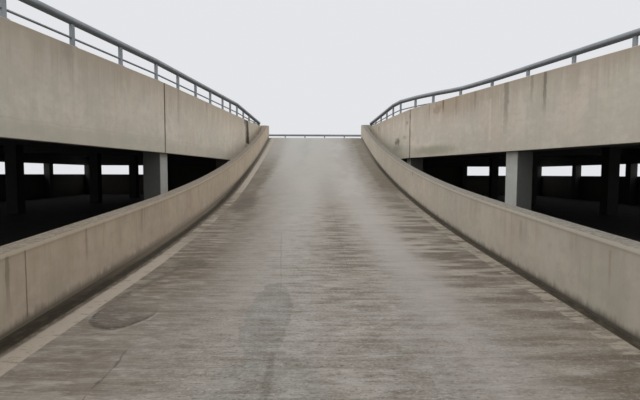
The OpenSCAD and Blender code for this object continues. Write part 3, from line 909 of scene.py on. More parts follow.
@dataclass(frozen=True)
class VoidEdge:
    """One edge of the void in the deck: two straight stretches that meet at a bend."""

    bend: float
    from_axis: float
    slope: float
    head_slope: float = 0.1207

    def reach(self, g: Graph, along: Term) -> Term:
        """Returns how far from the ramp's axis the edge lies, at a distance along the ramp."""
        stretches = ((slope, self.from_axis + slope * self.bend) for slope in (self.slope, self.head_slope))
        return g.most(*(along * -slope + start for slope, start in stretches))


@dataclass(frozen=True)
class SlabConcrete:
    """A brushed or trowelled slab with joints, tyre marks and drips of oil, and painted shade underneath."""

    name: str
    tone: Colour
    oil: float
    bay: float = 5.0
    # Painted shade: the colour of the faces that look down
    soffit_shade: Colour = (0.012, 0.011, 0.010)
    # Where set, the slab's tone is painted shade under the deck, and this is its colour where it lies open to
    # the sky
    unshaded_tone: Optional[Colour] = None
    toe_y: float = 0.0
    void_head: float = 26.3
    void_edges: tuple[VoidEdge, VoidEdge] = (VoidEdge(15.22, 4.24, 0.1771), VoidEdge(19.82, 3.67, 0.3124))

    def make(self) -> bpy.types.Material:
        """Makes the finish.

        Returns:
            The material.
        """
        g = Graph(self.name, shade(self.tone, 0.86))
        cloud = g.noise((0.25, 0.25, 0.0), 4.0, 0.55, 2.3)
        patch = g.noise((1.6, 1.6, 0.0), 4.0, 0.6, 7.1)
        brush = g.noise((3.0, 45.0, 0.0), 3.0, 0.6, 1.1)
        grain = g.noise((80.0, 80.0, 80.0), 3.0, 0.6)
        spots = g.noise((1.1, 1.1, 0.0), 2.0, 0.4, 12.7)
        tracks = g.noise((4.5, 0.16, 0.0), 3.0, 0.5, 6.3)
        joints = g.most(self.joint(g, g.x), self.joint(g, g.y))
        g.lay(g.smooth(cloud, 0.35, 0.65), shade(self.tone, 1.1))
        g.lay(g.smooth(patch, 0.5, 0.7) * 0.4, shade(self.tone, 0.78))
        g.lay(g.smooth(tracks, 0.54, 0.7) * 0.25, shade(self.tone, 0.6))
        g.lay(g.smooth(spots, 0.66, 0.78) * self.oil, shade(self.tone, 0.3))
        g.lay(brush * 0.3 - 0.05, shade(self.tone, 0.8))
        g.lay(joints * 0.75, shade(self.tone, 0.3))
        g.lay(grain * 0.3 - 0.06, shade(self.tone, 0.62))
        # Painted shade under the deck: the floor open to the sky beside the ramp takes its unshaded tone
        if self.unshaded_tone:
            g.lay(self.under_void(g), g.mix(g.smooth(patch, 0.4, 0.6), self.unshaded_tone, shade(self.unshaded_tone, 0.8)))
        # Painted shade on the faces that look down
        g.lay(g.facing()[1], self.soffit_shade)
        return g.finish(patch * 0.25 + 0.7, brush * 0.5 + grain * 0.4 - joints * 0.9, 0.003)

    def joint(self, g: Graph, value: Term) -> Term:
        """Draws sawn joints, one to a bay.

        Args:
            g: the graph.
            value: the place across the joints.

        Returns:
            1 in a joint and 0 between them.
        """
        turns = (value + (100 * self.bay + self.bay / 2)) / self.bay
        nearest = abs(g.math("FRACT", turns) - 0.5)
        return g.smooth(nearest, 0.012 / self.bay, 0.004 / self.bay)

    def under_void(self, g: Graph) -> Term:
        """Finds the ground that lies open to the sky beside the ramp.

        Args:
            g: the graph.

        Returns:
            1 there and 0 under the deck.
        """
        along = g.y - self.toe_y
        left, right = (edge.reach(g, along) for edge in self.void_edges)
        return (g.smooth(g.x + left, 0.0, 0.5) * g.smooth(right - g.x, 0.0, 0.5)
                * g.smooth(along, self.void_head, self.void_head - 0.5))


@dataclass(frozen=True)
class PaintedSteel:
    """Grey paint on steel tube, with a painted highlight on top and painted shade underneath, rusting where
    water stands.
    """

    name: str = "rail_paint"
    tone: Colour = (0.262, 0.282, 0.302)
    rust: Colour = (0.16, 0.07, 0.03)

    def make(self) -> bpy.types.Material:
        """Makes the finish.

        Returns:
            The material.
        """
        g = Graph(self.name, shade(self.tone, 0.85))
        cloud = g.noise((1.5, 1.5, 3.0), 4.0, 0.6, 2.9)
        chips = g.noise((28.0, 28.0, 28.0), 4.0, 0.65, 5.1)
        runs = g.noise((30.0, 30.0, 4.0), 3.0, 0.5)
        g.lay(g.smooth(cloud, 0.3, 0.7), shade(self.tone, 1.15))
        # Painted highlight: the faces that look up are made paler
        g.lay(g.smooth(g.face_z, 0.25, 0.9) * 0.6, (0.36, 0.385, 0.405))
        g.lay(g.smooth(runs, 0.55, 0.7) * 0.25, shade(self.tone, 0.55))
        # Painted shade: the faces that look down are made darker
        g.lay(g.smooth(g.face_z, 0.1, -0.5) * 0.75, shade(self.tone, 0.28))
        g.lay(g.smooth(chips, 0.66, 0.74) * 0.8, self.rust)
        return g.finish(cloud * 0.2 + 0.45, chips, 0.0006)


@dataclass(frozen=True)
class JointFiller:
    """Dark rubbery filler, dusty and drawn in."""

    name: str = "joint_filler"
    tone: Colour = (0.030, 0.024, 0.018)

    def make(self) -> bpy.types.Material:
        """Makes the finish.

        Returns:
            The material.
        """
        g = Graph(self.name, self.tone)
        dust = g.noise((12.0, 12.0, 2.0), 4.0, 0.6)
        g.lay(g.smooth(dust, 0.4, 0.75), shade(self.tone, 1.9))
        return g.finish(0.85, dust)


@dataclass(frozen=True)
class LinePaint:
    """White road paint, worn through to the concrete."""

    name: str = "line_paint"
    tone: Colour = (0.66, 0.65, 0.61)
    worn_to: Colour = (0.34, 0.32, 0.29)

    def make(self) -> bpy.types.Material:
        """Makes the finish.

        Returns:
            The material.
        """
        g = Graph(self.name, self.tone)
        wear = g.noise((14.0, 14.0, 0.0), 5.0, 0.7, 3.3)
        broad = g.noise((0.5, 0.5, 0.0), 2.0, 0.5, 8.8)
        g.lay(g.smooth(broad * 0.35 + wear, 0.66, 0.80) * 0.85, self.worn_to)
        return g.finish(0.62, wear, 0.001)


def new_object(name: str, data: bpy.types.ID) -> bpy.types.Object:
    """Makes an object and links it to the scene.

    Args:
        name: the object's name.
        data: its mesh, camera or lamp.

    Returns:
        The object.
    """
    made = bpy.data.objects.new(name, data)
    bpy.context.scene.collection.objects.link(made)
    return made


def mesh_object(bm: Mesh, name: str) -> bpy.types.Object:
    """Turns a mesh under construction into an object.

    Args:
        bm: the mesh, which this uses up.
        name: the object's name.

    Returns:
        The object.
    """
    mesh = bpy.data.meshes.new(name)
    bm.to_mesh(mesh)
    bm.free()
    return new_object(name, mesh)


def add_piece(bm: Mesh, name: str, material: bpy.types.Material,
              replaces: Iterable[str] = ()) -> None:
    """Makes a finished mesh a piece of the building.

    Args:
        bm: the mesh, in place.
        name: the piece's name.
        material: its finish.
        replaces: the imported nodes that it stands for.
    """
    piece = mesh_object(bm, name)
    piece.data.materials.append(material)
    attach(piece, BODY)
    if replaces:
        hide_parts(*replaces)
    log.info("%s: %d faces", name, len(piece.data.polygons))


def merged_copy(node: str) -> Mesh:
    """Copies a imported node's mesh and merges its doubles.

    Args:
        node: the node's name.

    Returns:
        The copy.
    """
    bm = bmesh.new()
    bm.from_mesh(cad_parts[node].data)
    bmesh.ops.remove_doubles(bm, verts=bm.verts, dist=MERGE)
    return bm


def sharp_edges(bm: Mesh, degrees: float) -> list[bmesh.types.BMEdge]:
    """Returns the edges where two faces meet at more than an angle."""
    limit = math.radians(degrees)
    return [e for e in bm.edges if len(e.link_faces) == 2 and e.calc_face_angle(0.0) > limit]


def bevel(bm: Mesh, edges: list[bmesh.types.BMEdge], width: float, segments: int = 2) -> None:
    """Bevels some edges of a mesh."""
    bmesh.ops.bevel(bm, geom=edges, offset=width, offset_type="OFFSET", segments=segments,
                    profile=0.5, affect="EDGES", material=-1, clamp_overlap=True)


def soften(bm: Mesh, degrees: float) -> None:
    """Shades a mesh smooth, apart from its sharp edges.

    Args:
        bm: the mesh.
        degrees: the angle from which an edge counts as sharp.
    """
    for face in bm.faces:
        face.smooth = True
    for edge in sharp_edges(bm, degrees):
        edge.smooth = False


def add_box(bm: Mesh, first: Iterable[float], second: Iterable[float]) -> list[bmesh.types.BMVert]:
    """Adds a box between two opposite corners.

    Args:
        bm: the mesh to add to.
        first: one corner.
        second: the other.

    Returns:
        The box's points.
    """
    low, high = (Vector(corner) for corner in zip(*map(sorted, zip(first, second))))
    made = bmesh.ops.create_cube(bm, size=1.0)["verts"]
    place = Matrix.Translation((low + high) / 2) @ Matrix.Diagonal((*(high - low), 1.0))
    bmesh.ops.transform(bm, matrix=place, verts=made)
    return made


def set_down(bm: Mesh, points: list[bmesh.types.BMVert], middle: Vector, turn: float) -> None:
    """Turns some points about Z and moves them from the origin to a place."""
    bmesh.ops.transform(bm, matrix=Matrix.Translation(middle) @ Matrix.Rotation(turn, 4, "Z"), verts=points)


def joined(first: Mesh, second: Mesh) -> Mesh:
    """Joins two closed meshes in one.

    Args:
        first: one of them, which this uses up.
        second: the other, which this uses up.

    Returns:
        Their union.
    """
    parts = [mesh_object(bm, name) for bm, name in ((first, "first"), (second, "second"))]
    union = parts[0].modifiers.new("union", "BOOLEAN")
    union.operation = "UNION"
    union.solver = "EXACT"
    union.object = parts[1]
    result = bmesh.new()
    result.from_mesh(parts[0].evaluated_get(bpy.context.evaluated_depsgraph_get()).to_mesh())
    for part in parts:
        bpy.data.meshes.remove(part.data)
    bmesh.ops.remove_doubles(result, verts=result.verts, dist=MERGE)
    return result


@dataclass(frozen=True)
class RampPaving:
    """The ramp's slab, with ribs across the lane, smooth margins and a gutter on each side."""

    line: RampLine
    half_width: float = 2.5
    left_gutter: float = 0.28
    right_gutter: float = 0.13
    gutter_depth: float = 0.025
    gutter_lip: float = 0.012
    gutter_dish: float = 0.004
    margin_width: float = 0.18
    margin_gap: float = 0.05
    thickness: float = 0.30
    lane_columns: int = 17
    rib_pitch: float = 0.10
    rib_height: float = 0.006
    rib_steps: int = 5
    worn_in_paths: float = 0.72
    worn_far_up: float = 0.88
    far_up: Span = (8.0, 20.0)
    crease: float = 40.0
    swings: tuple[Swing, ...] = (Swing(0.095, 8.6, 5.2), Swing(0.145, 12.0, 20.5))

    @property
    def left_gutter_x(self) -> float:
        """Returns X at the edge of the left gutter."""
        return self.left_gutter - self.half_width

    @property
    def right_gutter_x(self) -> float:
        """Returns X at the edge of the right gutter."""
        return self.half_width - self.right_gutter

    def margins(self) -> tuple[Span, Span]:
        """Returns where the smooth margins begin and end along X, on the left and on the right."""
        left, right = self.left_gutter_x + self.margin_gap, self.right_gutter_x
        return (left, left + self.margin_width), (right - self.margin_width, right)

    def columns(self) -> list[Point]:
        """Lists the lines of points that run up the ramp.

        Returns:
            X, the drop below the lane and the share of the left margin's drift, for each line.
        """
        low, lip, half = self.gutter_depth, self.gutter_lip, self.half_width
        (_, lane_left), (lane_right, _) = self.margins()
        step = (lane_right - lane_left) / (self.lane_columns - 1)
        left = [(-half, low, 0.0), (self.left_gutter / 2 - half, low + self.gutter_dish, 0.5),
                (self.left_gutter_x - lip, low, 1.0), (self.left_gutter_x, 0.0, 1.0)]
        lane = [(lane_left + step * i, 0.0, 0.0) for i in range(self.lane_columns)]
        right = [(self.right_gutter_x, 0.0, 0.0), (self.right_gutter_x + lip, low, 0.0), (half, low, 0.0)]
        return left + lane + right

    def rib(self, x: float, y: float) -> Span:
        """Works out the ribs at a point, worn down in the wheel paths and far up.

        Args:
            x: the place across the ramp.
            y: the place along it.

        Returns:
            How far the ribs stand up there, and the depth below their tops from 0 to 1.
        """
        (_, lane_left), (lane_right, _) = self.margins()
        if not lane_left < x < lane_right:
            return 0.0, 0.0
        wander = 0.02 * noise.noise(Vector((0.9 * x, 0.7 * y, 3.0)))
        wave = 0.5 + 0.5 * math.sin(2 * math.pi * (y + wander) / self.rib_pitch)
        wear = 0.62 + 0.5 * noise.noise(Vector((1.7 * x, 1.3 * y, 9.0)))
        right, left = (1.0 - abs(x - middle) / half for middle, half in (RIGHT_PATH, LEFT_PATH))
        start, end = self.far_up
        far = min(max((y - self.line.toe_y - start) / (end - start), 0.0), 1.0)
        worn = ((1.0 - self.worn_in_paths * max(0.0, right, 0.7 * left)) * (1.0 - self.worn_far_up * far)
                * min(max(wear, 0.15), 1.0))
        return self.rib_height * wave * worn, 1.0 - wave

    def build(self, finish: bpy.types.Material) -> None:
        """Makes the slab.

        Args:
            finish: the paving's material.
        """
        columns = self.columns()
        rows = round(self.line.run / self.rib_pitch) * self.rib_steps
        bm = bmesh.new()
        bmesh.ops.create_grid(bm, x_segments=len(columns) - 1, y_segments=rows, size=1.0)
        groove = bm.verts.layers.float.new(GROOVE)
        for vert in bm.verts:
            x, drop, share = columns[round((vert.co.x + 1) / 2 * (len(columns) - 1))]
            along = self.line.run * (vert.co.y + 1) / 2
            y = self.line.toe_y + along
            rise, vert[groove] = self.rib(x, y)
            drift = share * sum(swing.at(along) for swing in self.swings)
            vert.co = (x - drift, y, self.line.height(y) - drop + rise)
        for face in bm.faces:
            face.smooth = True
        made = bmesh.ops.extrude_face_region(bm, geom=bm.faces[:], use_keep_orig=True)
        for vert in made["geom"]:
            if isinstance(vert, bmesh.types.BMVert):
                vert.co.z = max(0.0, self.line.height(vert.co.y) - self.thickness)
        bmesh.ops.recalc_face_normals(bm, faces=bm.faces[:])
        for edge in sharp_edges(bm, self.crease):
            edge.smooth = False
        add_piece(bm, "ramp_paving", finish, ["ramp_slab"])


@dataclass(frozen=True)
class RampWall:
    """A wall beside the ramp, with a chamfered top and a rounded nose at the head."""

    side: Side
    line: RampLine
    height: float
    inner: float = 2.5
    thickness: float = 0.22
    nose: float = 0.265
    nose_sides: int = 48
    arris: float = 0.009
    wave: float = 0.003
    crease: float = 30.0
    top_crease: float = 50.0

    def top_edges(self, bm: Mesh) -> list[bmesh.types.BMEdge]:
        """Finds the sharp edges round the top.

        Args:
            bm: the wall's mesh.

        Returns:
            The edges.
        """
        def is_top(vert: bmesh.types.BMVert) -> bool:
            """Tells whether a point lies on the wall's top."""
            return vert.co.z > self.line.height(vert.co.y) + 0.9 * self.height

        return [e for e in sharp_edges(bm, self.top_crease) if all(is_top(v) for v in e.verts)]

    def straight(self) -> Mesh:
        """Shapes the wall from the toe of the ramp to its head.

        Returns:
            The mesh.
        """
        near, far = (self.side.value * reach for reach in (self.inner, self.inner + self.thickness))
        bm = bmesh.new()
        add_box(bm, (near, self.line.toe_y, 0.0), (far, self.line.head_y, self.height))
        for y in self.line.stations():
            bmesh.ops.bisect_plane(bm, geom=bm.verts[:] + bm.edges[:] + bm.faces[:], dist=MERGE,
                                   plane_co=(0, y, 0), plane_no=(0, 1, 0))
        for vert in bm.verts:
            if vert.co.z > self.height / 2:
                stray = self.wave * noise.noise(Vector((vert.co.x, 0.8 * vert.co.y, 1.0)))
                vert.co.z = self.line.height(vert.co.y) + self.height + stray
        bevel(bm, self.top_edges(bm), self.arris)
        return bm

    def rounded_nose(self) -> Mesh:
        """Shapes the round end of the wall on the deck.

        Returns:
            The mesh.
        """
        bm = bmesh.new()
        made = bmesh.ops.create_cone(bm, cap_ends=True, segments=self.nose_sides, radius1=self.nose,
                                     radius2=self.nose, depth=self.height)["verts"]
        middle = (self.side.value * (self.inner + self.nose), self.line.head_y,
                  self.line.deck_z + self.height / 2)
        bmesh.ops.translate(bm, vec=middle, verts=made)
        bevel(bm, self.top_edges(bm), self.arris)
        return bm

    def build(self, finish: bpy.types.Material) -> None:
        """Makes the wall.

        Args:
            finish: the wall's material.
        """
        bm = joined(self.straight(), self.rounded_nose())
        level = bm.verts.layers.float.new(OVER_RAMP)
        for vert in bm.verts:
            vert[level] = vert.co.z - self.line.height(vert.co.y)
        soften(bm, self.crease)
        node = f"ramp_{self.side.word}_wall"
        add_piece(bm, f"{node}_cast", finish, [node])


@dataclass(frozen=True)
class CastPiece:
    """A copy of a concrete node whose edges have the small chamfers that its forms left."""

    node: str
    slot: Slot
    arris: float = 0.012
    flat: float = 0.5
    crease: float = 30.0

    def build(self, finish: bpy.types.Material) -> None:
        """Makes the piece.

        Args:
            finish: its material.
        """
        bm = merged_copy(self.node)
        bmesh.ops.dissolve_limit(bm, angle_limit=math.radians(self.flat), verts=bm.verts[:],
                                 edges=bm.edges[:])
        bevel(bm, sharp_edges(bm, self.crease), self.arris, 1)
        add_piece(bm, f"{self.node}_cast", finish, [self.node])


@dataclass(frozen=True)
class Handrail:
    """A handrail with smooth tubes and a bolted plate under each post."""

    node: str
    plate_length: float = 0.15
    plate_width: float = 0.12
    plate_height: float = 0.012
    bolt_radius: float = 0.012
    bolt_height: float = 0.014
    bolt_inset: float = 0.025
    bolt_sides: int = 6
    post_corners: int = 4
    crease: float = 35.0

    def feet(self, bm: Mesh) -> list[tuple[Vector, float]]:
        """Finds the posts' feet by the corners that each has at the lowest level.

        Args:
            bm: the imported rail.

        Returns:
            The middle and the turn of each foot.
        """
        low = min(v.co.z for v in bm.verts)
        corners = [v.co.copy() for v in bm.verts if v.co.z < low + MERGE]
        feet = []
        while corners:
            near = sorted(corners, key=lambda c: (c - corners[0]).length)[:self.post_corners]
            corners = [c for c in corners if c not in near]
            longest = max((near[0] - near[1], near[0] - near[2]), key=lambda side: side.length)
            feet.append((sum(near, Vector()) / len(near), math.atan2(longest.y, longest.x)))
        return feet

    def shape(self, packed: Mesh, feet: list[tuple[Vector, float]]) -> Mesh:
        """Returns the rail's tubes and posts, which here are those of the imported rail."""
        return packed

    def add_plate(self, bm: Mesh, middle: Vector, turn: float) -> None:
        """Adds one foot plate with a bolt near each corner.

        Args:
            bm: the mesh to add to.
            middle: the middle of the post's foot.
            turn: the foot's turn about Z.
        """
        half_x, half_y = self.plate_length / 2, self.plate_width / 2
        made = add_box(bm, (-half_x, -half_y, 0.0), (half_x, half_y, self.plate_height))
        for across in (-1, 1):
            for along in (-1, 1):
                bolt = bmesh.ops.create_cone(bm, cap_ends=True, segments=self.bolt_sides,
                                             radius1=self.bolt_radius, radius2=self.bolt_radius,
                                             depth=self.bolt_height)["verts"]
                spot = (along * (half_x - self.bolt_inset), across * (half_y - self.bolt_inset),
                        self.plate_height + self.bolt_height / 2)
                bmesh.ops.translate(bm, vec=spot, verts=bolt)
                made += bolt
        set_down(bm, made, middle, turn)

    def build(self, finish: bpy.types.Material) -> None:
        """Makes the rail and its foot plates.

        Args:
            finish: the rail's material.
        """
        packed = merged_copy(self.node)
        feet = self.feet(packed)
        bm = self.shape(packed, feet)
        soften(bm, self.crease)
        add_piece(bm, f"{self.node}_steel", finish, [self.node])
        plates = bmesh.new()
        for middle, turn in feet:
            self.add_plate(plates, middle, turn)
        add_piece(plates, f"{self.node}_plates", finish)


@dataclass(frozen=True)
class RailTurn(Handrail):
    """The stretch of the right handrail that sweeps from the deck to its parapet in one curve."""

    toe_y: float = 0.0
    parapet_top: float = 4.25
    path: tuple[Span, ...] = (
        (5.662, 16.9), (5.146, 18.362), (4.459, 19.394), (3.980, 20.2325), (3.585, 21.2))
    joint_reach: float = 0.20
    rail_height: float = 0.508
    rail_radius: float = 0.079
    bar_height: float = 0.170
    bar_radius: float = 0.0225
    post_along: float = 0.085
    post_across: float = 0.060
    steps: int = 10
    sides: int = 28

    def curve(self) -> list[tuple[Vector, Vector]]:
        """Lays a smooth curve through the path, short of both its ends, where the next rails reach in.

        Returns:
            Places along the curve, with its direction at each.
        """
        points = [Vector((x, self.toe_y + along, 0.0)) for x, along in self.path]
        first, last = (points[1] - points[0]).normalized(), (points[-1] - points[-2]).normalized()
        ways = [first, *((after - before).normalized() for before, after in zip(points, points[2:])), last]
        points[0] += first * self.joint_reach
        points[-1] -= last * self.joint_reach
        places = []
        for a, b, way_a, way_b in zip(points, points[1:], ways, ways[1:]):
            span = (b - a).length
            for i in range(self.steps):
                places.append(self.between(a, b, way_a * span, way_b * span, i / self.steps))
        return places + [(points[-1], last)]

    @staticmethod
    def between(a: Vector, b: Vector, way_a: Vector, way_b: Vector, share: float) -> tuple[Vector, Vector]:
        """Finds a place on the smooth curve between two points.

        Args:
            a: the point where the curve begins.
            b: the point where it ends.
            way_a: its direction and speed at the first.
            way_b: the same at the second.
            share: how far along it the place lies, from 0 to 1.

        Returns:
            The place, and the direction there.
        """
        square, cube = share ** 2, share ** 3
        place = (a * (2 * cube - 3 * square + 1) + way_a * (cube - 2 * square + share)
                 + b * (3 * square - 2 * cube) + way_b * (cube - square))
        way = ((a - b) * (6 * square - 6 * share) + way_a * (3 * square - 4 * share + 1)
               + way_b * (3 * square - 2 * share))
        return place, way.normalized()

    def add_tube(self, bm: Mesh, level: float, radius: float) -> None:
        """Sweeps a tube along the curve, closed at both ends.

        Args:
            bm: the mesh to add to.
            level: height of the tube's middle.
            radius: the tube's radius.
        """
        places = self.curve()
        rings = [bmesh.ops.create_circle(bm, cap_ends=True, segments=self.sides, radius=radius)["verts"]]
        cap = rings[0][0].link_faces[0]
        made = [cap, *cap.edges]
        for _ in places[1:]:
            made = bmesh.ops.extrude_face_region(bm, geom=made)["geom"]
            rings.append([part for part in made if isinstance(part, bmesh.types.BMVert)])
        up = Vector((0, 0, 1))
        for ring, (place, way) in zip(rings, places):
            turned = Matrix((way.cross(up), up, -way)).transposed().to_4x4()
            bmesh.ops.transform(bm, matrix=Matrix.Translation(place + up * level) @ turned, verts=ring)

    def shape(self, packed: Mesh, feet: list[tuple[Vector, float]]) -> Mesh:
        """Sweeps the tubes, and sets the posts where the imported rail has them.

        Args:
            packed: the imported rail, which this uses up.
            feet: the middle and the turn of each post's foot.

        Returns:
            The mesh.
        """
        packed.free()
        bm = bmesh.new()
        self.add_tube(bm, self.parapet_top + self.rail_height, self.rail_radius)
        self.add_tube(bm, self.parapet_top + self.bar_height, self.bar_radius)
        half_x, half_y = self.post_along / 2, self.post_across / 2
        for middle, turn in feet:
            tall = self.parapet_top + self.rail_height - middle.z
            set_down(bm, add_box(bm, (-half_x, -half_y, 0.0), (half_x, half_y, tall)), middle, turn)
        bmesh.ops.recalc_face_normals(bm, faces=bm.faces[:])
        return bm


@dataclass(frozen=True)
class JointSeals:
    """Filler set back in the upright joints between the fascia panels."""

    levels: Levels
    joint: float = 0.03
    lap: float = 0.002
    back: float = 0.035
    depth: float = 0.07
    foot_gap: float = 0.01
    top_gap: float = 0.012

    def sunk(self, face: float, inward: int) -> Span:
        """Returns where the filler begins and ends behind a face."""
        return face + inward * self.back, face + inward * (self.back + self.depth)

    def gaps(self, node: str, axis: int) -> list[Span]:
        """Returns where the filler between an outer wall's panels begins and ends along their axis."""
        edges = sorted({round(v.co[axis], 4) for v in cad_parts[node].data.vertices})[1:-1]
        return [(a - self.lap, b + self.lap) for a, b in zip(edges[::2], edges[1::2])]

    def strips(self) -> list[tuple[Span, Span, float]]:
        """Lists the strips of filler.

        Returns:
            Each strip's ends along X, its ends along Y, and the foot of the panels beside it.
        """
        foot = self.levels.fascia_bottom
        found = []
        for side in Side:
            inward, left = side.value, side is Side.LEFT
            for panel in ("front", "middle"):
                low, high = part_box(f"{side.word}_fascia_{panel}")
                gap = (high.y - self.lap, high.y + self.joint + self.lap)
                found.append((self.sunk(high.x if left else low.x, inward), gap,
                              self.levels.left_panel_bottom if left else foot))
            node = f"{side.word}_wall_fascia"
            low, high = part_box(node)
            face = self.sunk(low.x if left else high.x, -inward)
            found += [(face, gap, foot) for gap in self.gaps(node, 1)]
        face = self.sunk(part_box("rear_wall_fascia")[1].y, -1)
        return found + [(gap, face, foot) for gap in self.gaps("rear_wall_fascia", 0)]

    def build(self, finish: bpy.types.Material) -> None:
        """Makes the filler.

        Args:
            finish: the filler's material.
        """
        bm = bmesh.new()
        top = self.levels.parapet_top - self.top_gap
        for (x_near, x_far), (y_near, y_far), foot in self.strips():
            add_box(bm, (x_near, y_near, foot + self.foot_gap), (x_far, y_far, top))
        add_piece(bm, "joint_filler", finish)


@dataclass(frozen=True)
class BayLines:
    """Painted lines between parking bays, in rows along the walls."""

    name: str
    level: float
    half_width: float
    front_y: float
    rear_y: float
    length: float = 4.8
    pitch: float = 2.5
    front_gap: float = 0.8
    corner_gap: float = 1.5
    width: float = 0.10
    thickness: float = 0.003

    def add_line(self, bm: Mesh, first: Span, second: Span) -> None:
        """Adds one line between two opposite corners."""
        add_box(bm, (*first, self.level), (*second, self.level + self.thickness))

    def build(self, finish: bpy.types.Material) -> None:
        """Makes the lines.

        Args:
            finish: the paint's material.
        """
        bm = bmesh.new()
        half = self.width / 2
        inner = self.half_width - self.length
        first_y = self.front_y + self.front_gap
        for side in Side:
            for i in range(int((self.rear_y - first_y) / self.pitch) + 1):
                y = first_y + i * self.pitch
                self.add_line(bm, (side.value * self.half_width, y - half), (side.value * inner, y + half))
        across = int(2 * (inner - self.corner_gap) / self.pitch)
        for i in range(across + 1):
            x = (i - across / 2) * self.pitch
            self.add_line(bm, (x - half, self.rear_y - self.length), (x + half, self.rear_y))
        add_piece(bm, self.name, finish)


@dataclass(frozen=True)
class Camera:
    """The photograph's camera, in the middle of the lane just before the front walls."""

    eye: Point = (-0.05, -15.58, 1.71)
    focal_px: float = 430.0
    picture_px: float = 640.0
    sensor: float = 36.0
    clip: Span = (0.05, 500.0)
    turn_right: float = 0.80
    tip_down: float = 3.43
    roll: float = 0.2

    def build(self) -> None:
        """Makes the camera and gives it to the scene."""
        data = bpy.data.cameras.new("camera")
        data.sensor_width = self.sensor
        data.lens = self.sensor * self.focal_px / self.picture_px
        data.clip_start, data.clip_end = self.clip
        camera = new_object("camera", data)
        yaw, pitch, roll = (math.radians(a) for a in (self.turn_right, self.tip_down, self.roll))
        ahead = Vector((math.sin(yaw) * math.cos(pitch), math.cos(yaw) * math.cos(pitch), -math.sin(pitch)))
        right = Vector((math.cos(yaw), -math.sin(yaw), 0.0))
        up = right.cross(ahead)
        across = right * math.cos(roll) + up * math.sin(roll)
        upright = up * math.cos(roll) - right * math.sin(roll)
        turned = Matrix((across, upright, -ahead)).transposed()
        camera.matrix_world = Matrix.Translation(Vector(self.eye)) @ turned.to_4x4()
        bpy.context.scene.camera = camera


@dataclass(frozen=True)
class Stage:
    """A pale floor under an even sky, with one soft lamp high on the left."""

    floor_tone: Colour = (0.72, 0.72, 0.71)
    floor_level: float = -0.004
    floor_reach: float = 300.0
    sky_light: float = 1.0
    sky_tone: Colour = (0.97, 0.985, 1.0)
    seen_sky: Colour = (0.775, 0.785, 0.81)
    lamp_power: float = 0.6
    lamp_angle: float = 50.0
    lamp_tone: Colour = (1.0, 0.985, 0.96)
    lamp_way: Point = (0.55, 0.35, -1.0)

    def build(self) -> None:
        """Makes the floor, the sky and the lamp."""
        self.build_floor()
        self.build_sky()
        lamp = bpy.data.lights.new("sun", "SUN")
        lamp.energy = self.lamp_power
        lamp.angle = math.radians(self.lamp_angle)
        lamp.color = self.lamp_tone
        holder = new_object("sun", lamp)
        holder.rotation_euler = Vector(self.lamp_way).to_track_quat("-Z", "Y").to_euler()
        bpy.context.scene.view_settings.view_transform = "Standard"

    def build_floor(self) -> None:
        """Makes the floor."""
        bm = bmesh.new()
        bmesh.ops.create_grid(bm, x_segments=1, y_segments=1, size=self.floor_reach)
        bmesh.ops.translate(bm, vec=(0.0, 0.0, self.floor_level), verts=bm.verts[:])
        floor = mesh_object(bm, "floor")
        floor.data.materials.append(Graph("floor", self.floor_tone).finish(0.9))

    def build_sky(self) -> None:
        """Makes the sky, with one tone that lights and one that is seen or mirrored."""
        world = bpy.data.worlds.new("sky")
        world.use_nodes = True
        tree = world.node_tree
        tree.nodes.clear()
        rays = tree.nodes.new("ShaderNodeLightPath")
        light, seen = (tree.nodes.new("ShaderNodeBackground") for _ in range(2))
        light.inputs["Color"].default_value = (*self.sky_tone, 1.0)
        light.inputs["Strength"].default_value = self.sky_light
        seen.inputs["Color"].default_value = (*self.seen_sky, 1.0)
        seen_by = rays.outputs["Is Camera Ray"]
        for kind in ("Is Glossy Ray", "Is Transmission Ray"):
            either = tree.nodes.new("ShaderNodeMath")
            either.operation = "MAXIMUM"
            tree.links.new(seen_by, either.inputs[0])
            tree.links.new(rays.outputs[kind], either.inputs[1])
            seen_by = either.outputs[0]
        choice = tree.nodes.new("ShaderNodeMixShader")
        for socket, source in zip(choice.inputs, (seen_by, light.outputs[0], seen.outputs[0])):
            tree.links.new(source, socket)
        output = tree.nodes.new("ShaderNodeOutputWorld")
        tree.links.new(choice.outputs[0], output.inputs[0])
        bpy.context.scene.world = world


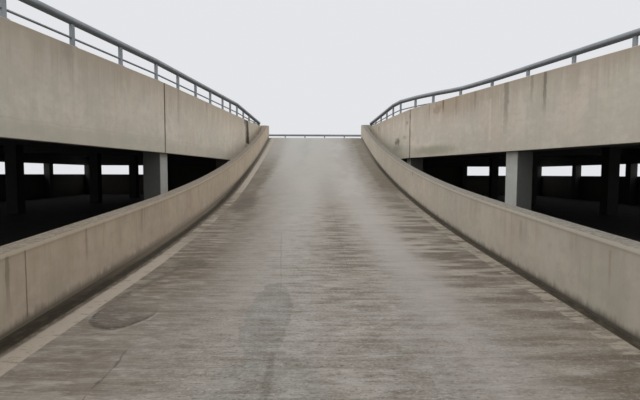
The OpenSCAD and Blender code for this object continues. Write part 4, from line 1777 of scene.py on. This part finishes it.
class CarPark:
    """The whole building, dressed sub-assembly by sub-assembly."""

    PALE: Colour = (0.580, 0.522, 0.445)
    LEFT_WALL: Colour = (0.440, 0.362, 0.278)
    RIGHT_WALL: Colour = (0.415, 0.370, 0.307)
    GREY: Colour = (0.300, 0.300, 0.285)
    GRIME: Colour = (0.070, 0.055, 0.036)
    DARK_GREEN: Colour = (0.028, 0.026, 0.013)
    MOSS: Colour = (0.105, 0.098, 0.065)
    RUST: Colour = (0.25, 0.135, 0.075)

    def __init__(self) -> None:
        """Reads the building's levels and makes the finishes that several pieces share."""
        self.levels = levels = Levels.of_frame()
        self.line = RampLine(levels.toe_y, levels.deck_z)
        self.panel = self.concrete("panel", self.PALE, levels.fascia_bottom, levels.parapet_top,
                                   veil=0.2, tide=0.35)
        self.left_panel = self.left_void_finish()
        self.right_panel = self.right_void_finish()
        # The sills get painted shade on their faces inside the building
        self.sill = self.concrete("sill", self.PALE, 0.0, levels.sill_top, splash=(0.1, 0.7), indoors=True)
        # The columns get painted shade on the faces turned away from the ramp
        self.columns = self.concrete("column", shade(self.GREY, 1.7), levels.floor_z, levels.fascia_bottom,
                                     runs=0.5, cap=0.2, splash=(0.06, 0.4), lit_side=True)
        # The hall's beams, piers and columns get painted shade over most of their colour
        self.hall = self.concrete("hall", self.GREY, levels.floor_z, levels.deck_z,
                                  runs=0.4, cap=0.2, soot=0.9)

    def concrete(self, name: str, tone: Colour, foot: float, top: float,
                 **settings: object) -> bpy.types.Material:
        """Returns a finish of cast concrete, whose marks count from the toe of the ramp."""
        return FormedConcrete(f"{name}_concrete", tone, foot, top, self.levels.toe_y, **settings).make()

    def left_void_finish(self) -> bpy.types.Material:
        """Makes the finish of the panels on the left of the void, with their own stains.

        Returns:
            The material.
        """
        foot, top = self.levels.left_panel_bottom, self.levels.parapet_top
        marks = (
            Mark(LINE, 24.9, 0.85, foot, top, (0.66, 0.63, 0.50), 0.5, fray=1.0),
            Mark(LINE, 21.25, 0.06, 2.45, 3.9, (0.72, 0.66, 0.56), 0.35, fray=0.8),
            Mark(RUN, 10.0, 0.05, 3.2, top, self.GRIME, 0.3),
            Mark(RUN, 11.6, 0.16, 3.6, top, self.GRIME, 0.2),
            Mark(RUN, 16.1, 0.08, 2.8, top, self.GRIME, 0.25),
            Mark(RUN, 18.4, 0.10, 3.3, top, self.GRIME, 0.2),
            Mark(LINE, 15.22, 0.035, foot, top, self.GRIME, 0.85, fray=0.8),
            Mark(LINE, 23.33, 0.045, foot, top, self.GRIME, 0.8, fray=0.8),
            # A dark green-brown wedge beside the joint that widens downward, and a dark spot above it
            Mark(LINE, 23.56, 0.18, 3.15, top, self.DARK_GREEN, 0.96, 0.10, 0.9),
            Mark(SPOT, 23.18, 0.16, 3.95, 4.3, self.DARK_GREEN, 0.7),
        )
        return self.concrete("left_panel", self.PALE, foot, top, runs=0.8, cap=0.55, veil=0.42, tide=0.38,
                             gain=Fade(11.0, 20.5, 1.42), marks=marks)

    def right_void_finish(self) -> bpy.types.Material:
        """Makes the finish of the panels on the right of the void, with their own stains.

        Returns:
            The material.
        """
        foot, top = self.levels.fascia_bottom, self.levels.parapet_top
        marks = (
            Mark(SPOT, 17.0, 1.6, 3.6, 4.5, (0.34, 0.25, 0.17), 0.4, fray=1.0),
            Mark(SPOT, 18.2, 1.6, 2.36, 2.78, (0.27, 0.26, 0.175), 0.55, fray=0.8),
            Mark(LINE, 15.45, 0.05, 2.7, 3.9, (0.74, 0.68, 0.58), 0.32, fray=1.0),
            Mark(RUN, 13.6, 0.05, 2.9, top, self.GRIME, 0.6),
            Mark(RUN, 14.0, 0.05, 3.3, top, self.GRIME, 0.35),
            Mark(RUN, 14.85, 0.09, 2.5, top, self.GRIME, 0.45),
            Mark(RUN, 16.1, 0.06, 3.5, top, self.GRIME, 0.3),
            Mark(RUN, 17.0, 0.05, 3.4, top, self.RUST, 0.4),
            Mark(RUN, 17.70, 0.05, 3.75, top, (0.20, 0.085, 0.045), 0.9),
            Mark(SPOT, 18.0, 0.30, 3.80, 4.14, self.RUST, 0.35),
            Mark(RUN, 18.5, 0.05, 3.3, top, self.GRIME, 0.3),
            Mark(LINE, 19.80, 0.05, foot, top, self.GRIME, 0.75, fray=1.2),
            Mark(SPOT, 20.1, 0.16, 3.68, 3.84, self.MOSS, 0.45),
            Mark(SPOT, 20.4, 0.25, 3.12, 3.30, self.MOSS, 0.35),
            Mark(SPOT, 21.32, 0.36, 2.94, 3.26, self.MOSS, 0.8),
            Mark(SPOT, 21.35, 0.7, 2.62, 3.0, self.MOSS, 0.3),
            Mark(RUN, 24.30, 0.09, 3.70, 4.05, self.MOSS, 0.6),
        )
        return self.concrete("right_panel", self.PALE, foot, top, runs=0.8, cap=0.45, veil=0.16, tide=0.12,
                             tide_slope=0.10, tide_from=16.2, gain=Fade(14.0, 18.5, 1.2), marks=marks)

    def left_wall_finish(self, height: float) -> bpy.types.Material:
        """Makes the finish of the wall on the left of the ramp.

        Args:
            height: the wall's height over the ramp.

        Returns:
            The material.
        """
        marks = (
            Mark(LINE, 6.62, 0.008, 0.03, height - 0.03, self.GRIME, 0.75),
            Mark(RUN, 6.05, 0.04, 0.03, height - 0.02, self.GRIME, 0.4),
            Mark(RUN, 6.40, 0.025, 0.05, height - 0.02, self.GRIME, 0.5),
            Mark(RUN, 7.6, 0.02, 0.1, height - 0.03, self.GRIME, 0.4),
            Mark(RUN, 9.1, 0.03, 0.2, height - 0.03, self.GRIME, 0.35),
        )
        return self.concrete("ramp_left_wall", self.LEFT_WALL, 0.0, height, over_ramp=True, runs=0.8,
                             run_reach=0.5, run_turns=1.4, cap=0.15, splash=(0.045, 0.12), splash_fade=1.1,
                             splash_fall=Fade(5.5, 11.0, 0.40), splash_tone=(0.054, 0.043, 0.028),
                             lip=0.3, gain=Fade(8.0, 16.0, 1.28), marks=marks)

    def right_wall_finish(self, height: float) -> bpy.types.Material:
        """Makes the finish of the wall on the right of the ramp.

        Args:
            height: the wall's height over the ramp.

        Returns:
            The material.
        """
        marks = (
            Mark(RUN, 14.1, 0.05, height - 0.16, height - 0.03, self.GRIME, 0.5),
            Mark(RUN, 6.15, 0.015, 0.1, height - 0.08, (0.20, 0.125, 0.085), 0.5),
            Mark(RUN, 6.6, 0.02, 0.2, height - 0.08, (0.22, 0.15, 0.105), 0.4),
            Mark(RUN, 8.2, 0.04, 0.2, height - 0.1, (0.22, 0.17, 0.125), 0.4),
        )
        return self.concrete("ramp_right_wall", self.RIGHT_WALL, 0.0, height, over_ramp=True, runs=0.6,
                             run_reach=0.5, run_turns=1.4, cap=0.15, splash=(0.05, 0.125), splash_fade=1.5,
                             lip=0.4, gain=Fade(7.0, 12.5, 1.24), marks=marks)

    def dress_ramp(self) -> None:
        """Makes the ramp's paving and walls."""
        paving = RampPaving(self.line)
        finish = RibbedPaving(self.line.toe_y, *paving.margins(), paving.left_gutter_x, paving.right_gutter_x,
                              paving.swings)
        paving.build(finish.make())
        for side, wall_finish in ((Side.LEFT, self.left_wall_finish), (Side.RIGHT, self.right_wall_finish)):
            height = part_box(f"ramp_{side.word}_wall")[1].z - self.levels.deck_z
            RampWall(side, self.line, height).build(wall_finish(height))

    def dress_walls(self) -> None:
        """Gives the panels, sills, columns and piers their chamfers and finish."""
        places = ("front", "middle", "end")
        choices = (
            ([f"left_fascia_{place}" for place in places], self.left_panel, Slot.WALL),
            ([f"right_fascia_{place}" for place in places], self.right_panel, Slot.WALL),
            ([f"{wall}_wall_fascia" for wall in OUTER_WALLS], self.panel, Slot.WALL),
            (on_outer_walls("sill_wall"), self.sill, Slot.WALL),
            ([f"{side.word}_edge_columns" for side in Side], self.columns, Slot.FRAME),
            ([f"{wall}_wall_piers" for wall in OUTER_WALLS], self.hall, Slot.FRAME),
        )
        for nodes, finish, slot in choices:
            for node in nodes:
                CastPiece(node, slot).build(finish)

    def dress_nodes(self) -> None:
        """Gives the nodes that keep their shape their finish."""
        deck = SlabConcrete("deck_concrete", (0.38, 0.36, 0.325), 0.5).make()
        # The floor's near-black tone is painted shade under the deck
        floor = SlabConcrete("floor_concrete", (0.030, 0.028, 0.025), 0.7, unshaded_tone=(0.40, 0.38, 0.34),
                             toe_y=self.levels.toe_y).make()
        beams = ["left_edge_beam", "right_edge_beam", "cross_beams", "hall_columns", "ramp_end_wall"]
        choices = (
            (beams + on_outer_walls("wall_beam"), self.hall),
            (["roof_deck_left", "roof_deck_right", "roof_deck_rear"], deck),
            (["ground_floor"], floor),
        )
        for nodes, finish in choices:
            for node in nodes:
                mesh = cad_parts[node].data
                mesh.materials.clear()
                mesh.materials.append(finish)
                log.info("%s: finish %s", node, finish.name)

    def dress_rails(self) -> None:
        """Makes the handrails."""
        finish = PaintedSteel().make()
        beside_void = ["left_handrail", "right_handrail_front", "right_handrail_end"]
        for node in beside_void + on_outer_walls("wall_handrail"):
            Handrail(node).build(finish)
        turn = RailTurn("right_handrail_turn", toe_y=self.levels.toe_y, parapet_top=self.levels.parapet_top)
        turn.build(finish)

    def dress_details(self) -> None:
        """Makes the joint filler and the bay lines."""
        JointSeals(self.levels).build(JointFiller().make())
        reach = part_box("right_wall_fascia")[0].x
        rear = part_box("rear_wall_fascia")[0].y
        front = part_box("front_wall_fascia")[1].y
        BayLines("deck_bay_lines", self.levels.deck_z, reach, front, rear).build(LinePaint().make())


def on_outer_walls(kind: str) -> list[str]:
    """Returns the nodes of one kind on the outer walls, of which the front's name is plural."""
    return [f"{wall}_{kind}" for wall in OUTER_WALLS[:-1]] + [f"{OUTER_WALLS[-1]}_{kind}s"]


def main() -> None:
    """Dresses the building and sets the scene."""
    logging.basicConfig(level=logging.INFO, format="%(name)s: %(message)s")
    Camera().build()
    Stage().build()
    park = CarPark()
    park.dress_ramp()
    park.dress_walls()
    park.dress_nodes()
    park.dress_rails()
    park.dress_details()


if __name__ == "__main__":
    main()
